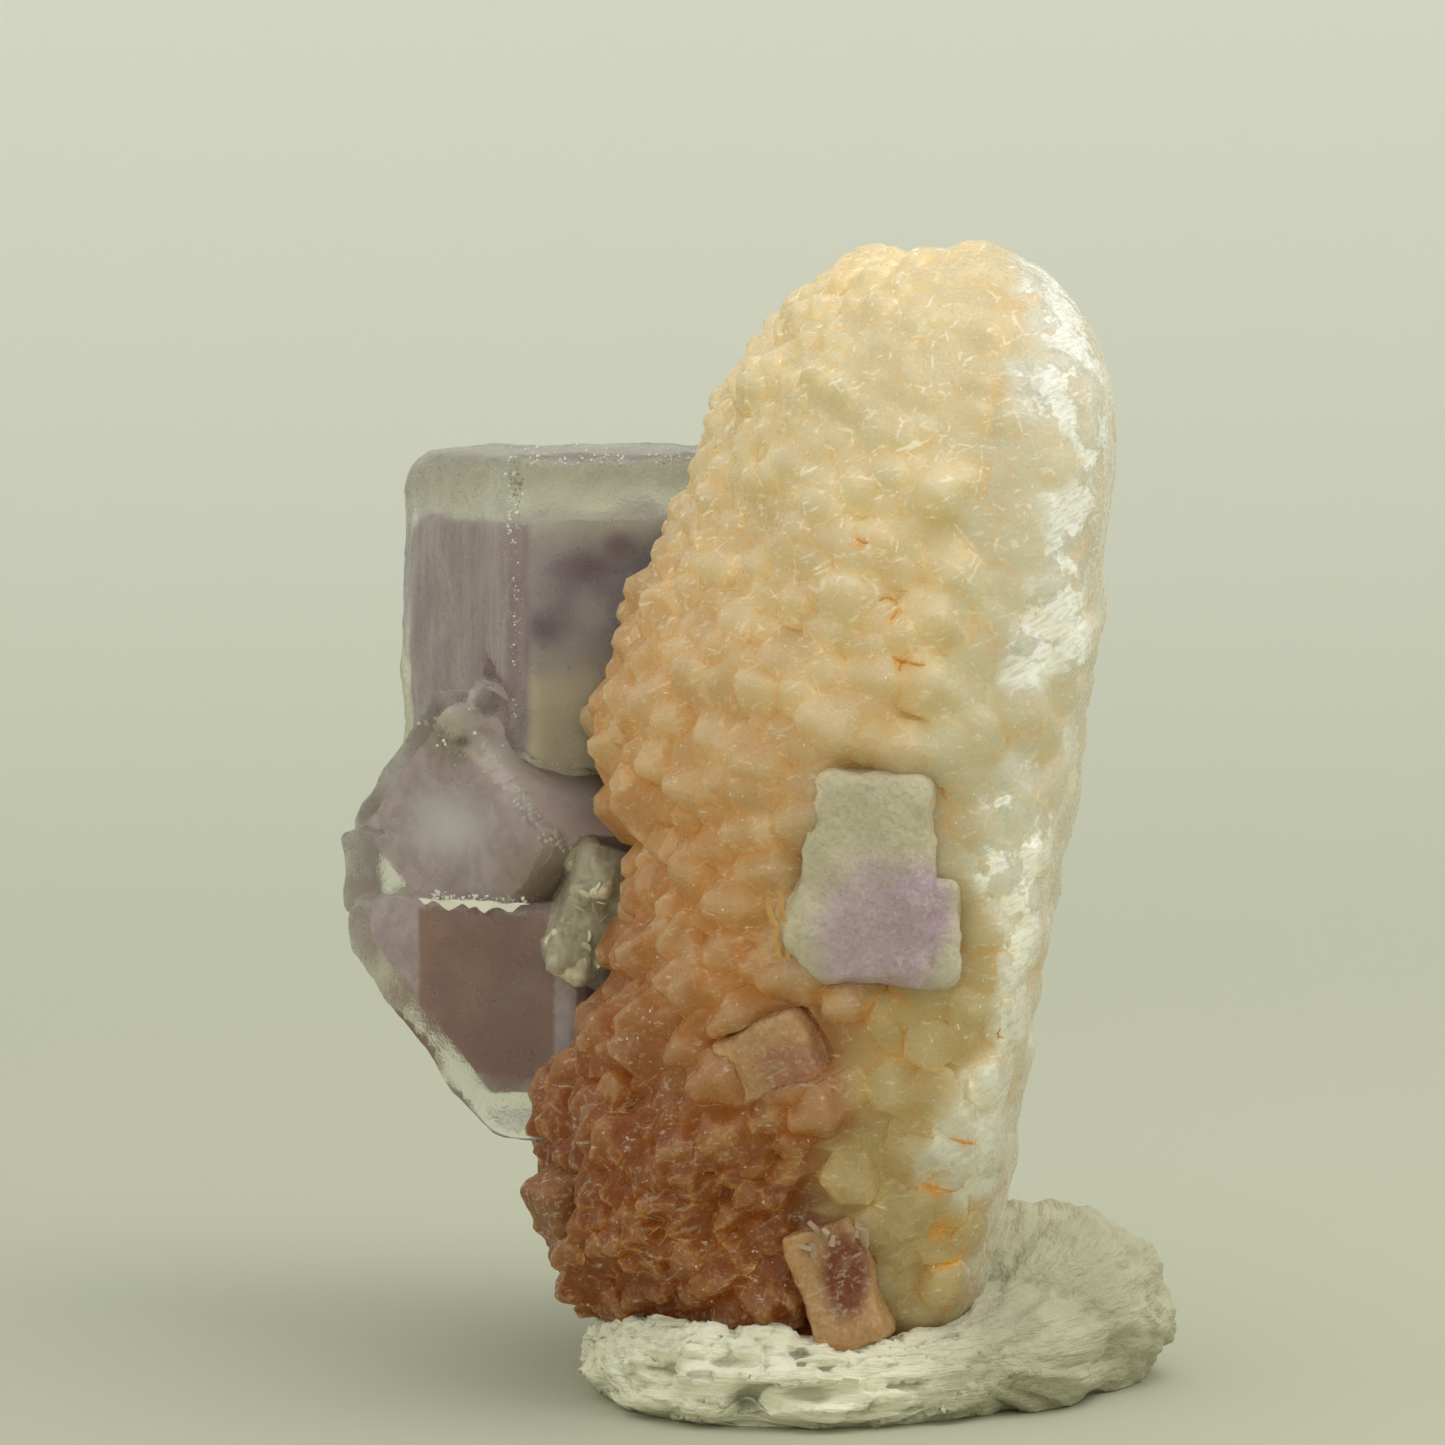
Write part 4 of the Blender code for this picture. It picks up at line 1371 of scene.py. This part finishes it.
def add_studio():
    """A pale floor that rises gently into a wall all round, far from the object."""
    bm = bmesh.new()
    profile = [(0.0, 0.0), (120.0, 0.0), (250.0, 0.0)]
    profile += [(250.0 + 900.0 * share, 650.0 * share**2.2) for share in np.linspace(0.05, 1.0, 20)]
    sides = 72
    rings = [[bm.verts.new((0.0, 0.0, -0.02))]]
    for reach, height in profile[1:]:
        turns = [math.tau * i / sides for i in range(sides)]
        circle = [(reach * math.cos(turn), reach * math.sin(turn), height - 0.02) for turn in turns]
        rings.append([bm.verts.new(place) for place in circle])
    for i in range(sides):
        bm.faces.new((rings[0][0], rings[1][i - 1], rings[1][i]))
    for inner, outer in zip(rings[1:], rings[2:]):
        for i in range(sides):
            bm.faces.new((inner[i - 1], outer[i - 1], outer[i], inner[i]))
    floor = object_from(bm, "studio_floor", closed=False)
    floor.data.shade_smooth()
    floor.data.materials.append(studio_material())


def studio_material():
    material, tree, shader = new_material("studio_paper")
    place = place_in_mm(tree)
    # Painted shade: the floor is darker near the object and lighter far out.
    far = ramp(tree, vector_maths(tree, "LENGTH", place), 0.0, 1000.0)
    feed(tree, shader.inputs["Base Color"], blend(tree, far, (0.48, 0.49, 0.37), (0.82, 0.83, 0.72)))
    shader.inputs["Roughness"].default_value = 0.9
    return material


def add_phantoms():
    upper_purple = phantom_material(
        "upper_phantom_finish", (0.38, 0.21, 0.30), (0.56, 0.40, 0.42), upper_zones, (1.0, 1.0, 0.07)
    )
    upper = add_phantom("upper_phantom", (-8.8, 17.5, 39.6), (15.7, 17.7, 13.8), (0, 0, 22), wear=0.9)
    dress(upper, upper_purple)
    lower_purple = phantom_material(
        "lower_phantom_finish", (0.56, 0.40, 0.46), (0.74, 0.58, 0.62), lower_zones
    )
    tilted = add_phantom("tilted_phantom", (-13.0, 11.2, 29.0), (10.6, 9.6, 10.0), (92, 43, -42))
    dress(tilted, lower_purple)
    upright = add_phantom(
        "upright_phantom", (-13.2, 10.1, 20.0), (13.0, 9.4, 10.0), (0, 0, -30),
        crystal_name="lower_fluorite", inset=1.7,
    )
    dress(upright, lower_purple)
    broken = add_phantom("broken_core", (-8.9, 3.4, 25.0), (3.4, 4.2, 6.6), (0, 18, 12), wear=1.4)
    wear_faces(broken, 0.6, 1.2, 0.7)
    beige = phantom_material(
        "broken_finish", (0.60, 0.50, 0.34), (0.92, 0.86, 0.66), blob_zones(()), (1.6, 1.6, 0.8)
    )
    dress(broken, beige)


def add_sugar():
    lines = [
        ((-13.15, 5.5, 49.6), (-13.15, 5.5, 45.5), 90, 0.22, 0.08),
        ((-13.15, 5.5, 45.5), (-13.15, 5.5, 35.5), 50, 0.12, 0.06),
        ((-13.2, 5.5, 49.8), (-1.0, 10.2, 49.8), 120, 0.25, 0.07),
        ((-15.74, 7.1, 34.5), (-10.64, 2.4, 28.7), 150, 0.22, 0.11),
        ((-17.5, 8.2, 35.0), (-14.5, 6.7, 33.6), 120, 0.6, 0.12),
        ((-18.0, 6.4, 25.7), (-12.4, 3.2, 25.7), 90, 0.15, 0.1),
    ]
    white = grain_material("sugar_and_ledge_highlight_finish", (0.90, 0.88, 0.76))
    dress(add_grains("sugar_grains", lines, SEED + 7), white)
    # The ledge flake is a white sliver that stands for the light on the ledge: a painted highlight.
    bm = bmesh.new()
    add_ribbon(bm, (-18.5, 6.25, 25.6), (-12.4, 2.7, 25.65), 0.55, 0.2, 3.0)
    dress(object_from(bm, "ledge_highlight_flake"), white)
    veil = grain_material("veil_finish", (0.80, 0.78, 0.58))
    veils = add_veils("fracture_veils", (-8.6, 0.9, 24.9), (1.0, 0.2, 2.4), 12, 0.5, SEED + 8)
    dress(veils, veil)


def add_rusty_flakes():
    bm = bmesh.new()
    for i, lean in enumerate((0.0, 0.5)):
        start = (1.1 - lean, -16.0, 28.2 - lean)
        end = (1.7 - lean, -15.1, 23.9 + lean)
        add_ribbon(bm, start, end, 0.3, 0.3, 11.0 + i)
    dress(object_from(bm, "rusty_flakes"), grain_material("rusty_finish", (0.66, 0.38, 0.12)))


def add_foot_fragments():
    bm = bmesh.new()
    draw = random.Random(SEED + 9)
    for _ in range(9):
        place = Vector((draw.uniform(2.4, 5.8), draw.uniform(-13.7, -13.2), draw.uniform(9.2, 10.3)))
        angles = [draw.uniform(0.0, 90.0) for _ in range(3)]
        piece = block(place, (draw.uniform(0.6, 1.4), draw.uniform(0.4, 0.9), 0.25), angles)
        fragment = bpy.data.meshes.new("fragment")
        piece.to_mesh(fragment)
        piece.free()
        bm.from_mesh(fragment)
    fragments = object_from(bm, "foot_fragments", closed=False)
    dress(fragments, grain_material("fragment_finish", (0.50, 0.35, 0.24)))


def main():
    plate = build_quartz()
    dress(plate, quartz_material(), "quartz_plate")
    dress(add_stains(plate), grain_material("stain_finish", (0.66, 0.32, 0.07)))
    glassy = ((0.97, 0.97, 0.92), (0.84, 0.82, 0.70), 0.9, 0.16, (0.80, 0.80, 0.60), 22.0)
    green = ((0.96, 0.86, 0.60), (0.84, 0.78, 0.56))
    zoned = {
        "upper_fluorite": fluorite_material("upper_finish", *glassy, zones=upper_marks),
        "lower_fluorite": fluorite_material("lower_finish", *glassy, zones=lower_marks),
    }
    face_zones = (
        ((0.82, 0.60, 0.69), (6.2, -16.2, 25.4), (5.0, 6.0, 6.8)),
        ((0.76, 0.53, 0.66), (8.2, -16.2, 27.2), (2.8, 6.0, 3.8)),
        ((0.95, 0.86, 0.66), (10.2, -16.2, 24.2), (1.6, 6.0, 2.0)),
    )
    frosted = fluorite_material(
        "frosted_fluorite_finish", *green, 0.4, 0.34, (0.7, 0.7, 0.5), 120.0, zones=blob_zones(face_zones)
    )
    middle_zone = ((0.72, 0.31, 0.18), (1.8, -15.0, 19.0), (2.8, 5.0, 2.0))
    foot_zone = ((0.34, 0.08, 0.04), (4.6, -14.0, 8.0), (2.0, 5.0, 3.6))
    tinted = fluorite_material(
        "tinted_fluorite_finish", (0.90, 0.50, 0.22), (0.96, 0.62, 0.32), 0.45, 0.26,
        (0.8, 0.6, 0.5), 40.0, zones=blob_zones((middle_zone, foot_zone)),
    )
    brown = fluorite_material(
        "brown_fluorite_finish", (0.34, 0.13, 0.035), (0.40, 0.17, 0.05), 0.15, 0.5,
        (0.5, 0.4, 0.3), 200.0,
    )
    for name, material in zoned.items():
        dress(build_shell(name), material, name)
    for name in SMALL_CRYSTALS:
        finish = frosted if name == "face_fluorite" else tinted
        dress(build_shell(name), finish, name)
    dress(build_shell("corner_fluorite"), brown, "corner_fluorite")
    add_phantoms()
    add_sugar()
    add_rusty_flakes()
    add_foot_fragments()
    dress(build_putty(), putty_material(), "mounting_putty")
    set_up_camera()
    set_up_light()
    add_studio()


main()
